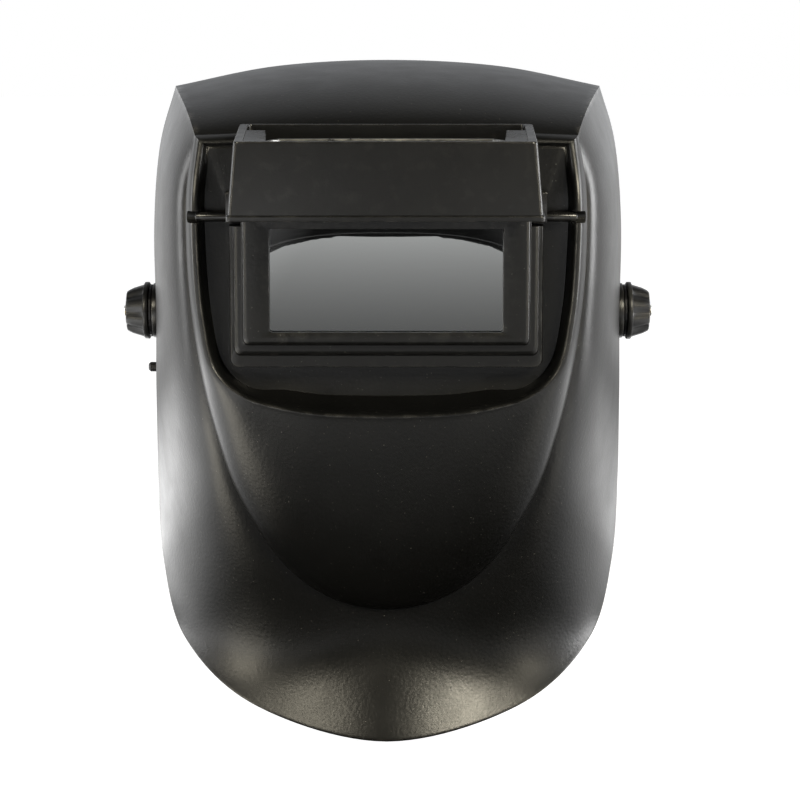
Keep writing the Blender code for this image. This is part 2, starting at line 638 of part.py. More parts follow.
# ---- headgear ----------------------------------------------------------------------------
def band_path(offset, start_degrees=180.0):
    """Plan of the headband at an offset outside its middle line, from one end to the other.

    The forehead is half a superellipse; the sides run straight to the rear corners.
    """
    wide, long = BAND_HALF_WIDTH + offset, BAND_HALF_LENGTH + offset
    radius = REAR_CORNER_RADIUS + offset
    rear, corner_x = BAND_HALF_LENGTH + offset, wide - radius
    half = []
    if start_degrees > 90:
        half.append((BAND_END_X, rear))
        steps = 8
        for step in range(steps + 1):
            angle = math.radians(90 - 90 * step / steps)
            half.append((corner_x + radius * math.cos(angle),
                         rear - radius + radius * math.sin(angle)))
        half += [(wide, 40.0), (wide, 20.0)]
        start_degrees = 90
    steps = 12
    for step in range(steps + 1):
        angle = math.radians(start_degrees * (1 - step / steps))
        across = max(0.0, math.sin(angle)) ** (2 / FOREHEAD_POWER)
        ahead = max(0.0, math.cos(angle)) ** (2 / FOREHEAD_POWER)
        half.append((wide * across, -long * ahead))
    return half + [(-x, y) for x, y in half[-2::-1]]


def ribbon(bm, inner, outer, half_height):
    """A strip standing on edge between two plan paths; the height may vary along it."""
    rings = []
    for index, ((xi, yi), (xo, yo)) in enumerate(zip(inner, outer)):
        tall = half_height(index, len(inner)) if callable(half_height) else half_height
        rings.append([(xi, yi, -tall), (xo, yo, -tall), (xo, yo, tall), (xi, yi, tall)])
    add_rings(bm, rings)


def band_height(index, count):
    """Full height round the forehead and sides, narrowing to the ratchet at both ends."""
    from_end = min(index, count - 1 - index)
    return min(BAND_HALF_HEIGHT, 6.6 + 0.8 * from_end)


def headband(parent, plastic):
    bm = bmesh.new()
    half = BAND_THICKNESS / 2
    ribbon(bm, band_path(-half), band_path(half), band_height)
    band = make_object("headband", bm, plastic, parent)
    holes = bmesh.new()
    for side in (-1, 1):
        for place in RIVETS:
            add_rings(holes, [circle_x(side * x, 1.9, place, 12) for x in (70, 86)])
        add_rings(holes, [circle_x(side * x, 2.1, (CROWN_Y, 0), 12) for x in (70, 86)])
    combine(band, make_object("headband_holes", holes, None))


def sweatband(parent, fabric):
    bm = bmesh.new()
    ribbon(bm, band_path(-5.6, 66), band_path(-1.3, 66), 12.8)
    make_object("sweatband", bm, fabric, parent)


def crown_point(turn, reach):
    """A point on the crown arch; turn runs from 0 at the right ear to pi at the left."""
    rise = CROWN_HEIGHT - CROWN_BASE + reach
    height = CROWN_BASE + rise * math.sin(turn)
    return Vector(((BAND_HALF_WIDTH + reach) * math.cos(turn),
                   CROWN_Y - CROWN_SLOPE * height, height))


def crown_hole(x, radius, z):
    """A level circle on the crown strap's middle line."""
    y = CROWN_Y - CROWN_SLOPE * (CROWN_HEIGHT + 3.0)
    turns = [2 * math.pi * i / 12 for i in range(12)]
    return [(x + radius * math.cos(a), y + radius * math.sin(a), z) for a in turns]


def crown_straps(parent, plastic):
    overlap = math.radians(104)
    half_width = 9.0
    for side, label, reach in ((1, "right", 1.3), (-1, "left", 3.0)):
        low = BAND_THICKNESS / 2 + GAP
        bm = bmesh.new()
        rings = []
        places = [(0.0, -23.0), (0.0, -7.0)] + [(overlap * i / 14, 0.0) for i in range(15)]
        for turn, drop in places:
            rise = min(1.0, turn / 0.9)
            inner = crown_point(turn, low + (reach - 1.3) * rise)
            outer = crown_point(turn, low + 1.4 + (reach - 1.3) * rise)
            ring = []
            for point, y in ((inner, -half_width), (outer, -half_width), (outer, half_width),
                             (inner, half_width)):
                ring.append((side * point.x, point.y + y - CROWN_SLOPE * drop,
                             point.z + drop))
            rings.append(ring)
        add_rings(bm, rings)
        strap = make_object("crown_strap_" + label, bm, plastic, parent)
        holes = bmesh.new()
        add_rings(holes, [circle_x(side * x, 2.1, (CROWN_Y, 0), 12) for x in (76, 86)])
        for x in (-10.0, 0.0, 10.0):
            add_rings(holes, [crown_hole(x, 2.1, z) for z in (92, 112)])
        combine(strap, make_object("crown_holes_" + label, holes, None))
        profile = ((74.8, 2.2), (75.4, 3.4), (76.4, 3.4), (76.4, 1.6), (81.0, 1.6),
                   (81.0, 3.4), (81.9, 3.4), (82.5, 2.2))
        turned("crown_rivet_" + label, [circle_x(side * x, radius, (CROWN_Y, 0), 12)
                                        for x, radius in profile], plastic, parent)
    pin = bmesh.new()
    profile = ((98.6, 2.4), (99.0, 3.4), (100.2, 3.4), (100.2, 1.7), (105.2, 1.7),
               (105.2, 3.6), (106.4, 3.6), (107.0, 2.6))
    add_rings(pin, [crown_hole(0.0, radius, z) for z, radius in profile])
    make_object("crown_strap_pin", pin, plastic, parent)


def gear_outline(y):
    """Pinion teeth with flat tips and straight flanks."""
    points = []
    tip, root = PINION_RADIUS + 0.65, PINION_RADIUS - 1.15
    for tooth in range(PINION_TEETH):
        middle = math.pi / 2 + 2 * math.pi * tooth / PINION_TEETH
        for radius, share in ((root, -0.30), (tip, -0.13), (tip, 0.13), (root, 0.30)):
            angle = middle + share * 2 * math.pi / PINION_TEETH
            points.append((radius * math.cos(angle), y, radius * math.sin(angle)))
    return points


def rack_outline(y, side):
    """Straight rack with its teeth towards the pinion; side is +1 above it and -1 below."""
    far, near = side * 40.0, side * -17.0
    base, tip, top = PINION_RADIUS + 1.15, PINION_RADIUS - 0.65, PINION_RADIUS + 4.6
    points = [(near, side * top), (near, side * base)]
    first = math.ceil(-17.0 / RACK_PITCH + 0.3)
    last = math.floor(24.0 / RACK_PITCH)
    for tooth in range(first, last):
        middle = (tooth + 0.5) * RACK_PITCH
        for share, height in ((-0.30, base), (-0.13, tip), (0.13, tip), (0.30, base)):
            points.append((side * (middle + share * RACK_PITCH), side * height))
    points += [(far, side * base), (far, side * top)]
    return [(x, y, z) for x, z in points]


def ratchet(parent, plastic, knob_plastic, steel):
    wide, tall = HOUSING_HALF
    bm = bmesh.new()
    channel = [(94.0, -tall), (103.0, -tall), (103.0, -tall + 2), (96.2, -tall + 2),
               (96.2, tall - 2), (103.0, tall - 2), (103.0, tall), (94.0, tall)]
    add_rings(bm, [[(x, y, z) for y, z in channel] for x in (-wide, wide)])
    housing = make_object("ratchet_housing", bm, plastic, parent)
    socket = bmesh.new()
    add_rings(socket, [circle_y(y, 3.6, sides=16) for y in (95.2, 97.0)])
    combine(housing, make_object("housing_socket", socket, None))

    bm = bmesh.new()
    outline = rectangle(103.3, wide, -tall, tall, 4.0, 4)
    add_plate(bm, [outline, circle_y(103.3, 4.8, sides=20)], (0, 2.2, 0))
    cover = make_object("ratchet_cover", bm, plastic, parent)
    collar = bmesh.new()
    add_rings(collar, [circle_y(y, radius, sides=32) for y, radius in
                       ((104.9, 14.0), (107.0, 13.4), (107.0, 11.0), (104.9, 11.0))],
              join_ends=True)
    combine(cover, make_object("cover_collar", collar, None), "UNION")

    gear_low, gear_high = GEAR_Y
    bm = bmesh.new()
    add_plate(bm, [gear_outline(gear_low)], (0, gear_high - gear_low, 0))
    pinion = make_object("ratchet_pinion", bm, plastic, parent)
    shaft = bmesh.new()
    add_rings(shaft, [circle_y(y, radius, sides=16) for y, radius in
                      ((95.5, 3.2), (100.0, 3.2), (100.0, 4.4), (112.0, 4.4))])
    combine(pinion, make_object("pinion_shaft", shaft, None), "UNION")
    for side, label in ((1, "right"), (-1, "left")):
        bm = bmesh.new()
        add_plate(bm, [rack_outline(gear_low, side)], (0, gear_high - gear_low, 0))
        make_object("rack_" + label, bm, plastic, parent)

    base = 107.5
    rings = [circle_y(base, 17.5, sides=45)]
    for y, radius in ((base + 1.0, 19.0), (base + 11.0, 18.2), (base + 12.6, 16.8)):
        rings.append([(radius * (1 - 0.055 * (1 + math.cos(15 * a))) * math.cos(a), y,
                       radius * (1 - 0.055 * (1 + math.cos(15 * a))) * math.sin(a))
                      for a in (2 * math.pi * i / 45 for i in range(45))])
    rings += [circle_y(y, radius, sides=45) for y, radius in
              ((base + 12.6, 5.2), (base + 9.5, 5.2), (base + 9.5, 2.4), (base + 5.0, 2.4),
               (base + 5.0, 4.8), (base, 4.8))]
    turned("ratchet_knob", rings, knob_plastic, parent, join_ends=True)
    turned("ratchet_screw", [circle_y(y, radius, sides=12) for y, radius in
                             ((112.4, 1.9), (117.3, 1.9), (117.3, 4.6), (118.7, 4.6),
                              (119.4, 3.4))], steel, parent)


def nape_pad(parent, fabric):
    bm = bmesh.new()
    add_rings(bm, [rectangle(y, wide, -tall, tall, 5.0, 3) for y, wide, tall in
                   ((88.2, 40.0, 12.0), (89.2, 43.0, 14.6), (92.6, 43.0, 14.6),
                    (93.6, 41.5, 13.4))])
    make_object("nape_pad", bm, fabric, parent)


def build():
    clear_scene()
    shell_plastic = material("black moulded shell", (0.022, 0.022, 0.023), 0.48)
    holder_plastic = material("black holder plastic", (0.014, 0.014, 0.014), 0.42)
    knob_plastic = material("black knob plastic", (0.018, 0.018, 0.019), 0.5)
    gear_plastic = material("headgear nylon", (0.03, 0.03, 0.032), 0.5)
    rubber = material("black rubber", (0.02, 0.02, 0.02), 0.8)
    glass = material("clear glass", (0.92, 0.95, 0.94), 0.03, 0.0, 1.0)
    shade = material("dark green filter glass", (0.01, 0.03, 0.015), 0.05)
    steel = material("zinc plated steel", (0.55, 0.55, 0.53), 0.35, 1.0)
    brass = material("brass insert", (0.6, 0.45, 0.2), 0.35, 1.0)
    fibre = material("fibre washer", (0.25, 0.1, 0.06), 0.8)
    foam = material("dark foam and cloth", (0.05, 0.05, 0.055), 0.95)

    helmet_shell(shell_plastic)
    fixed_window(glass, rubber, holder_plastic, steel)
    tilt_stop(gear_plastic)
    hinge = make_empty("flip_hinge", (0, HINGE_Y, HINGE_Z), -OPEN_ANGLE)
    flip_holder(hinge, holder_plastic, rubber, shade, glass, steel)
    for side, label in ((1, "right"), (-1, "left")):
        pivot_set(side, label, gear_plastic, knob_plastic, steel, brass, fibre)
    head = make_empty("headgear_frame", (0, 0, HEAD_LIFT), -HEAD_LEAN)
    headband(head, gear_plastic)
    sweatband(head, foam)
    crown_straps(head, gear_plastic)
    ratchet(head, gear_plastic, knob_plastic, steel)
    nape_pad(head, foam)


build()
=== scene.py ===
"""Looks of a flip-front welding helmet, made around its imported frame.

The shape constants are in millimetres and the lights and camera in metres, in the frame's own
axes: the origin is between the side pivots, +X is the wearer's left, -Y is the front and +Z
is up. "left" and "right" in the pieces' names are as seen from the front.
"""
import bisect
import json
import math

import bmesh
import bpy
from mathutils import Matrix, Vector, noise

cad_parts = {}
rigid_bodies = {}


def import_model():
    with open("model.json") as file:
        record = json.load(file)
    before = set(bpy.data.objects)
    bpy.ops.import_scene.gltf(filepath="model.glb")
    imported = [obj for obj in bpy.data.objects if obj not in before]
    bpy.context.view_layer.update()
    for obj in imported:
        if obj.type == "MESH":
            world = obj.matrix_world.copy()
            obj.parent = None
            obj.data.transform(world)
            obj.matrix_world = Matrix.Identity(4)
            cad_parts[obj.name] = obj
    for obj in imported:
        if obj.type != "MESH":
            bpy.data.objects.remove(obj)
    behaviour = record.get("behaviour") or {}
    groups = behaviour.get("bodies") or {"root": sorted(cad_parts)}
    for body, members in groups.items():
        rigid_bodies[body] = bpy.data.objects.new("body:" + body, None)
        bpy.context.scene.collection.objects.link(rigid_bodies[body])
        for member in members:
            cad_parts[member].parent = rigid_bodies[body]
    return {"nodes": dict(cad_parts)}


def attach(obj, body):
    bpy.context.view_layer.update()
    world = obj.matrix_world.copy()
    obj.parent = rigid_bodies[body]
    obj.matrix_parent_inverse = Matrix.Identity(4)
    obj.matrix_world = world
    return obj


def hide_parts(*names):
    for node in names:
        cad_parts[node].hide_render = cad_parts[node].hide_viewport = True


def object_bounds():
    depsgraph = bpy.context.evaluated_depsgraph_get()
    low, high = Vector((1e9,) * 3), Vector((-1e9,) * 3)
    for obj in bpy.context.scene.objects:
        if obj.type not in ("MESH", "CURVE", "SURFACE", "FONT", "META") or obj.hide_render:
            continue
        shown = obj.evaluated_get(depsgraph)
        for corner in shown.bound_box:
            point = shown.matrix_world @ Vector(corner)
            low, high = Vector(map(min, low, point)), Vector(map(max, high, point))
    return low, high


for item in list(bpy.data.objects):
    bpy.data.objects.remove(item, do_unlink=True)
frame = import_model()
cad_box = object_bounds()

MM = 0.001

# ---- helmet shell ----
WALL = 2.2
FLOOR_Y = -122.0
FLOOR_BACK_Y = FLOOR_Y + 2.4
RIDGE_WIDTH = 3.4
COLUMNS_PER_TOP_SPAN = 12
COLUMNS_PER_SIDE_SPAN = 12
SKIN_ROWS = 40
MUZZLE_ROWS = 24
EDGE_ROUND = 0.55               # rounding of the moulding's edges
BEND_STEPS = 3                  # spans of a rounded bend
PIN_SLOT_X = (77, 92)           # slots for the holder's pins, through the ridge
NOTCH_X, NOTCH_Z = (63.3, 73), (50.2, 62)   # room for the holder's ears, over the window
CUT_AHEAD = -150                # a depth in front of the ridge

# ---- window ----
WINDOW_Z = 26.9
WINDOW_HALF = (50.9, 22.5)
POCKET_HALF = (54.8, 26.1)
FRAME_Y, SEAT_Y, STEP_Y, LEDGE_Y = -140.0, -137.2, -135.3, -133.0

# ---- flip-up lens holder ----
HINGE_Y, HINGE_Z = -128.0, 54.1
OPEN_ANGLE = math.radians(84.0)
HOLDER_RIM, HOLDER_FACE = -7.6, -40.4
HOLDER_LENS_Z = WINDOW_Z - HINGE_Z
PIN_RADIUS, PIN_ROOM = 2.2, 2.6
RIDGE_PIN_X = 83.7

# ---- side pivots ----
PIVOT_WALL_IN, PIVOT_WALL_OUT = 111.4, 116.4
PIVOT_PAD_RADIUS, PIVOT_BORE_RADIUS = 13.6, 5.0
STUD_RADIUS, STUD_TIP = 3.0, 131.0
THREAD_START, THREAD_PITCH, THREAD_DEPTH = 115.0, 1.0, 0.45
KNOB_BASE, KNOB_TIP = PIVOT_WALL_OUT + 1.8, 129.4
PEG_RADIUS_FROM_PIVOT, PEG_HOLE_RADIUS = 28.2, 2.9
PEG_ANGLES = (-24.0, 0.0, 24.0)

# ---- headgear ----
HEAD_LEAN, HEAD_LIFT = math.radians(30.0), 6.0
BAND_HALF_WIDTH, BAND_HALF_LENGTH = 78.0, 98.0
BAND_THICKNESS, BAND_HALF_HEIGHT = 1.8, 12.0
REAR_CORNER_RADIUS, BAND_END_X = 38.0, 31.0
FOREHEAD_POWER = 2.8            # the forehead is a superellipse, flatter than an ellipse
RIVETS = ((-18.0, 3.0), (18.0, 3.0))
CROWN_Y, CROWN_SLOPE, CROWN_BASE, CROWN_HEIGHT = 39.0, 0.40, 14.0, 100.0
CROWN_HOLE_RADIUS = 2.1
KNOB_BACK = 107.5               # rear ratchet knob's inner end
NAPE_Y = (88.2, 93.6)
NAPE_HALF = (41.6, 13.2)
NAPE_CHANNELS = (-14.0, 14.0)
PAD_END, PAD_HALF_HEIGHT = 66, 12.0     # the forehead pad's end, in degrees; half its height
PAD_FACES, PAD_MIDDLE = (-5.0, -2.0), -3.4      # offsets from the band's own middle line
PAD_CHANNELS = 11               # sewn channels across it
PAD_SEAM_Z = PAD_HALF_HEIGHT - 2.2

# Stations of the shell's free form, for the half at +X: three along the brow to its corner,
# then down the side to the middle of the chin.
RIM = [(0, 20, 123.3), (55, 16, 120.3), (104, 4, 110.6), (112.3, 10, 84), (116.2, 15, 45),
       (116.2, 17, 0), (116.3, 11, -42), (114.6, -8, -80), (109, -42, -117.5),
       (95, -78, -148.5), (60, -110, -171.5), (0, -128, -183)]
VALLEY = [(0, -121.8, 91.5), (44, -120.4, 91), (84.6, -116.5, 89.5), (88.4, -117, 66),
          (88.8, -117, 38), (86.8, -117, 10), (82.6, -117.5, -18), (76.5, -117, -44),
          (67, -114.5, -72), (48.5, -111.5, -103), (26, -110.2, -120.5), (0, -110, -126.2)]
EDGE = [(0, -124.4, 88.5), (42, -124, 88), (81.8, -122.8, 86.8), (84.6, -130.5, 63),
        (84.6, -132, 38), (82.6, -132.5, 11), (77.2, -134, -13), (64.5, -136.5, -25.3),
        (48, -138.3, -30.6), (32, -139.4, -33.2), (16, -139.9, -34.2), (0, -140, -34.5)]
HUG = [0, 0, 0, 0, 0, 0, 0.25, 0.75, 1, 1, 1, 1]    # how closely the inside follows the muzzle
TOP_STATIONS = 3


# ---- mesh helpers ----
def add_rings(bm, rings, join_ends=False):
    """Skin rings of equal length; flat caps close the ends unless the ends are joined."""
    rows = [[bm.verts.new(Vector(point) * MM) for point in ring] for ring in rings]
    pairs = list(zip(rows, rows[1:]))
    if join_ends:
        pairs.append((rows[-1], rows[0]))
    for low, high in pairs:
        for index in range(len(low)):
            after = (index + 1) % len(low)
            bm.faces.new((low[index], low[after], high[after], high[index]))
    if not join_ends:
        bm.faces.new(rows[0])
        bm.faces.new(rows[-1])


def softened(rows, radii):
    """Replace each row that has a radius by the rows of a rounded bend."""
    made = []
    for index, row in enumerate(rows):
        radius = radii.get(index, 0.0)
        if not radius:
            made.append([Vector(point) for point in row])
            continue
        before, after = rows[index - 1], rows[(index + 1) % len(rows)]
        ends = []
        for a, p, b in zip(before, row, after):
            a, p, b = Vector(a), Vector(p), Vector(b)
            to_a, to_b = a - p, b - p
            ends.append((p + to_a.normalized() * min(radius, 0.45 * to_a.length), p,
                         p + to_b.normalized() * min(radius, 0.45 * to_b.length)))
        for step in range(BEND_STEPS + 1):
            t = step / BEND_STEPS
            made.append([start * (1 - t) ** 2 + p * (2 * t * (1 - t)) + end * t * t
                         for start, p, end in ends])
    return made


def new_object(name, bm):
    bmesh.ops.recalc_face_normals(bm, faces=bm.faces)
    mesh = bpy.data.meshes.new(name)
    bm.to_mesh(mesh)
    bm.free()
    made = bpy.data.objects.new(name, mesh)
    bpy.context.scene.collection.objects.link(made)
    return made


def skinned(name, *forms, join_ends=False):
    """A new object made of forms, each of them a list of rings."""
    bm = bmesh.new()
    for rings in forms:
        add_rings(bm, rings, join_ends)
    return new_object(name, bm)


def combine(target, cutter, operation="DIFFERENCE"):
    """Cut or join with a helper object, apply the result and remove the helper."""
    step = target.modifiers.new(operation.title(), "BOOLEAN")
    step.operation = operation
    step.solver = "EXACT"
    step.object = cutter
    apply_modifiers(target)
    bpy.data.objects.remove(cutter, do_unlink=True)


def apply_modifiers(target):
    graph = bpy.context.evaluated_depsgraph_get()
    graph.update()
    mesh = bpy.data.meshes.new_from_object(target.evaluated_get(graph))
    old = target.data
    target.modifiers.clear()
    target.data = mesh
    mesh.name = target.name
    bpy.data.meshes.remove(old)


def mark_edge_wear_and_highlight(mesh, reach=0.5):
    """Store how far each point stands out as an edge, for the edge wear and the painted edge
    highlight in the materials.
    """
    bm = bmesh.new()
    bm.from_mesh(mesh)
    values = []
    for point in bm.verts:
        bend = 0.0
        for edge in point.link_edges:
            if len(edge.link_faces) == 2:
                bend = max(bend, edge.calc_face_angle_signed(0.0))
        values.append(min(1.0, bend / reach))
    bm.free()
    layer = mesh.attributes.get("wear") or mesh.attributes.new("wear", "FLOAT", "POINT")
    layer.data.foreach_set("value", values)


def finished(made, finish, body, replaces=(), sharp=32.0, place=None):
    """Shade a new piece, give it its material and put it on its body."""
    if place is not None:
        made.data.transform(place)
    mesh = made.data
    mesh.shade_smooth()
    mesh.set_sharp_from_angle(angle=math.radians(sharp))
    mark_edge_wear_and_highlight(mesh)
    mesh.materials.clear()
    mesh.materials.append(finish)
    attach(made, body)
    if replaces:
        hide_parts(*replaces)
    return made


def polar(radius, degrees):
    """Cosine and sine of an angle, times the radius."""
    angle = math.radians(degrees)
    return radius * math.cos(angle), radius * math.sin(angle)


def circle_x(x, radius, centre=(0.0, 0.0), sides=48):
    """A ring square to X; the radius is a number, or a function of the angle."""
    ring = []
    for index in range(sides):
        angle = 2 * math.pi / sides * index
        reach = radius(angle) if callable(radius) else radius
        ring.append((x, centre[0] + reach * math.cos(angle),
                     centre[1] + reach * math.sin(angle)))
    return ring


def rectangle(y, half_width, low, high, radius=2.0, steps=6, flare=0.0):
    """A rounded rectangle of points in the XZ plane at depth y, wider on top by the flare."""
    top = half_width + flare
    corners = ((top, high, 0), (-top, high, 90), (-half_width, low, 180),
               (half_width, low, 270))
    points = []
    for x, z, start in corners:
        centre_x = x - math.copysign(radius, x)
        centre_z = z - radius if z == high else z + radius
        for step in range(steps + 1):
            across, up = polar(radius, start + 90 * step / steps)
            points.append(Vector((centre_x + across, y, centre_z + up)))
    return points


def shift(points, offset):
    return [tuple(a + b for a, b in zip(point, offset)) for point in points]


# ---- shell surface ----
def mirrored(point):
    return Vector((-point[0], point[1], point[2]))


def through(stations, columns, start_ghost, end_ghost):
    """Catmull-Rom curve through stations, sampled at a number of columns for each span."""
    line = [start_ghost] + [Vector(point) for point in stations] + [end_ghost]
    points = []
    for span in range(len(stations) - 1):
        a, b, c, d = line[span:span + 4]
        for column in range(columns):
            t = column / columns
            points.append(0.5 * (2 * b + (c - a) * t + (2 * a - 5 * b + 4 * c - d) * t ** 2
                                 + (3 * b - a - 3 * c + d) * t ** 3))
    return points


def half_loop(stations):
    """The brow and the side-and-chin curves, which meet in a sharp corner."""
    points = [Vector(point) for point in stations]
    top = points[:TOP_STATIONS]
    side = points[TOP_STATIONS - 1:]
    corner_ghost = 2 * top[-1] - top[-2]
    side_ghost = 2 * side[0] - side[1]
    return (through(top, COLUMNS_PER_TOP_SPAN, mirrored(top[1]), corner_ghost)
            + through(side, COLUMNS_PER_SIDE_SPAN, side_ghost, mirrored(side[-2]))
            + [side[-1]])


def full_loop(half):
    return half + [mirrored(point) for point in half[-2:0:-1]]


def bezier(a, b, c, d, t):
    s = 1 - t
    return a * s ** 3 + b * (3 * s * s * t) + c * (3 * s * t * t) + d * t ** 3


def skin_controls():
    """Control stations of the outer skin, from the rim to the valley."""
    leaving, arriving = [], []
    last = len(RIM) - 1
    for index, (rim, valley) in enumerate(zip(RIM, VALLEY)):
        rim, valley = Vector(rim), Vector(valley)
        reach = rim - valley
        if index < TOP_STATIONS:
            leaving.append(rim + Vector((-0.02 * rim.x, -0.33 * reach.y, 0.5)))
            arriving.append(valley + Vector((0.30 * reach.x, 0.14 * reach.y, 0.78 * reach.z)))
        else:
            low = max(0.0, min(1.0, (index - 6) / (last - 6)))
            ahead = Vector((-3.4, -0.42 * reach.y, 0.10 * -reach.z))
            flare = Vector((-0.22 * reach.x, 0.04 * -reach.y, 0.36 * -reach.z))
            leaving.append(rim + ahead.lerp(flare + Vector((0, 8, 0)), low))
            round_over = Vector((0.54 * reach.x, 0.05 * reach.y, 0.30 * reach.z))
            hollow = Vector((0.35 * reach.x, 3.5, 0.42 * reach.z))
            arriving.append(valley + round_over.lerp(hollow, low))
    return leaving, arriving


def muzzle_controls(valley, edge):
    """Control stations of the muzzle, from the valley to the edge of the recess."""
    rising, crowning = [], []
    for low, high in zip(valley, edge):
        low, high = Vector(low), Vector(high)
        rise = low.y - high.y
        rising.append(low + Vector((0, -0.40 * rise, 0)) + 0.03 * (high - low))
        crowning.append(high + Vector((0.42 * (low.x - high.x), 0.10 * rise,
                                       0.42 * (low.z - high.z))))
    return rising, crowning


def rectangle_half(y, half_width, low, high, radius):
    """Half of a window-shaped loop whose points match the stations of the free form."""
    def straight(start, end, count):
        return [Vector(start).lerp(Vector(end), i / count) for i in range(count)]

    points = straight((0, y, high), (half_width, y, high),
                      COLUMNS_PER_TOP_SPAN * (TOP_STATIONS - 1))
    points += straight((half_width, y, high), (half_width, y, low + radius),
                       4 * COLUMNS_PER_SIDE_SPAN)
    arc_columns = 2 * COLUMNS_PER_SIDE_SPAN
    for i in range(arc_columns):
        across, down = polar(radius, 90 * i / arc_columns)
        points.append(Vector((half_width - radius + across, y, low + radius - down)))
    points += straight((half_width - radius, y, low), (0, y, low), 3 * COLUMNS_PER_SIDE_SPAN)
    return points + [Vector((0, y, low))]


def inward(loop, distance, depth=None):
    """Move a loop's stations towards the recess's middle in XZ, and in Y to a depth if given."""
    moved = []
    for point in loop:
        point = Vector(point)
        along = Vector((point.x, 0, point.z - WINDOW_Z - 3))
        steep = 1.0 if abs(along.x) > abs(along.z) else 0.92
        point -= along.normalized() * distance / steep
        if depth is not None:
            point.y = depth
        moved.append(point)
    return moved


def offset_rows(rows, distance):
    """Move each point of a grid of rows inwards, square to the surface."""
    moved = []
    count = len(rows[0])
    for r, row in enumerate(rows):
        before, after = rows[max(r - 1, 0)], rows[min(r + 1, len(rows) - 1)]
        line = []
        for i, point in enumerate(row):
            around = row[(i + 1) % count] - row[i - 1]
            along = after[i] - before[i]
            line.append(point + around.cross(along).normalized() * distance)
        moved.append(line)
    return moved


def shell_rows():
    """Closed rows of the shell: outside from rim to window, then inside back to the rim."""
    rim, valley, edge = (half_loop(loop) for loop in (RIM, VALLEY, EDGE))
    leaving, arriving = (half_loop(loop) for loop in skin_controls())
    rising, crowning = (half_loop(loop) for loop in muzzle_controls(VALLEY, EDGE))
    skin = [full_loop([bezier(*group, row / SKIN_ROWS)
                       for group in zip(rim, leaving, arriving, valley)])
            for row in range(SKIN_ROWS + 1)]
    muzzle = [full_loop([bezier(*group, row / MUZZLE_ROWS)
                         for group in zip(valley, rising, crowning, edge)])
              for row in range(1, MUZZLE_ROWS + 1)]

    crest = [p + Vector((0, -0.5, 0)) for p in inward(EDGE, RIDGE_WIDTH * 0.5)]
    brink = [p + Vector((0, 1.8, 0)) for p in inward(EDGE, RIDGE_WIDTH)]
    foot = inward(EDGE, RIDGE_WIDTH + 1.4, FLOOR_Y)
    for p in foot[TOP_STATIONS + 5:]:
        p.z += 3.2
    recess = [full_loop(half_loop(loop)) for loop in (crest, brink, foot)]

    low, high = WINDOW_Z - WINDOW_HALF[1], WINDOW_Z + WINDOW_HALF[1]
    seat_low, seat_high = WINDOW_Z - POCKET_HALF[1], WINDOW_Z + POCKET_HALF[1]
    window = [full_loop(rectangle_half(*values)) for values in (
        (FLOOR_Y, 69.4, -12.9, 57.4, 3.5), (LEDGE_Y, 68.4, -11.7, 56.9, 3.5),
        (LEDGE_Y, 66.9, -6.4, 56.7, 3.0), (STEP_Y + 0.9, 66.7, -6.1, 56.6, 3.0),
        (STEP_Y, 65.0, -4.4, 56.6, 2.7),
        (STEP_Y, 62.9, -1.6, 56.3, 2.5), (FRAME_Y + 0.8, 62.4, -1.0, 55.8, 2.5),
        (FRAME_Y, 61.0, 0.2, 55.7, 2.3),
        (FRAME_Y, WINDOW_HALF[0], low, high, 1.0),
        (SEAT_Y, WINDOW_HALF[0], low, high, 1.0),
        (SEAT_Y, POCKET_HALF[0], seat_low, seat_high, 1.0),
        (FLOOR_BACK_Y, POCKET_HALF[0] + 0.4, seat_low - 0.4, seat_high + 0.4, 1.0))]

    inner_skin = offset_rows(skin, WALL)
    flat_edge = inward(EDGE, RIDGE_WIDTH, FLOOR_BACK_Y)
    hugging = [p + Vector((0, WALL, 0)) for p in inward(EDGE, -0.6)]
    inner_edge = full_loop(half_loop([a.lerp(b, share) for a, b, share
                                      in zip(flat_edge, hugging, HUG)]))
    inner_foot = full_loop(half_loop(
        [p - Vector((0, 0, 2.6 * share))
         for p, share in zip(inward(foot, 0.6, FLOOR_BACK_Y), HUG)]))
    hug = [point.x for point in half_loop([(share, 0, 0) for share in HUG])]
    hug += hug[-2:0:-1]
    outer_offset = offset_rows([skin[-1]] + muzzle, WALL)
    inner_muzzle = []
    for row in range(1, MUZZLE_ROWS):
        t = row / MUZZLE_ROWS
        inner_muzzle.append([a.lerp(b, t).lerp(c, min(1.0, max(0.0, share)))
                             for a, b, c, share
                             in zip(inner_skin[-1], inner_edge, outer_offset[row], hug)])
    inside = [inner_foot, inner_edge] + inner_muzzle[::-1] + inner_skin[::-1]
    rows = skin + muzzle + recess + window + inside

    radii = {0: 0.8, len(rows) - 1: 0.8}
    edge_row = SKIN_ROWS + MUZZLE_ROWS
    for offset, radius in enumerate((1.6, 1.5, 1.4, 0.6)):
        radii[edge_row + offset] = radius
    first_window_row = edge_row + len(recess) + 1
    for offset in range(1, len(window)):
        radii[first_window_row + offset] = EDGE_ROUND
    return softened(rows, radii)


def peg_centre(angle_degrees):
    angle = math.radians(angle_degrees)
    return (PEG_RADIUS_FROM_PIVOT * math.sin(angle), -PEG_RADIUS_FROM_PIVOT * math.cos(angle))


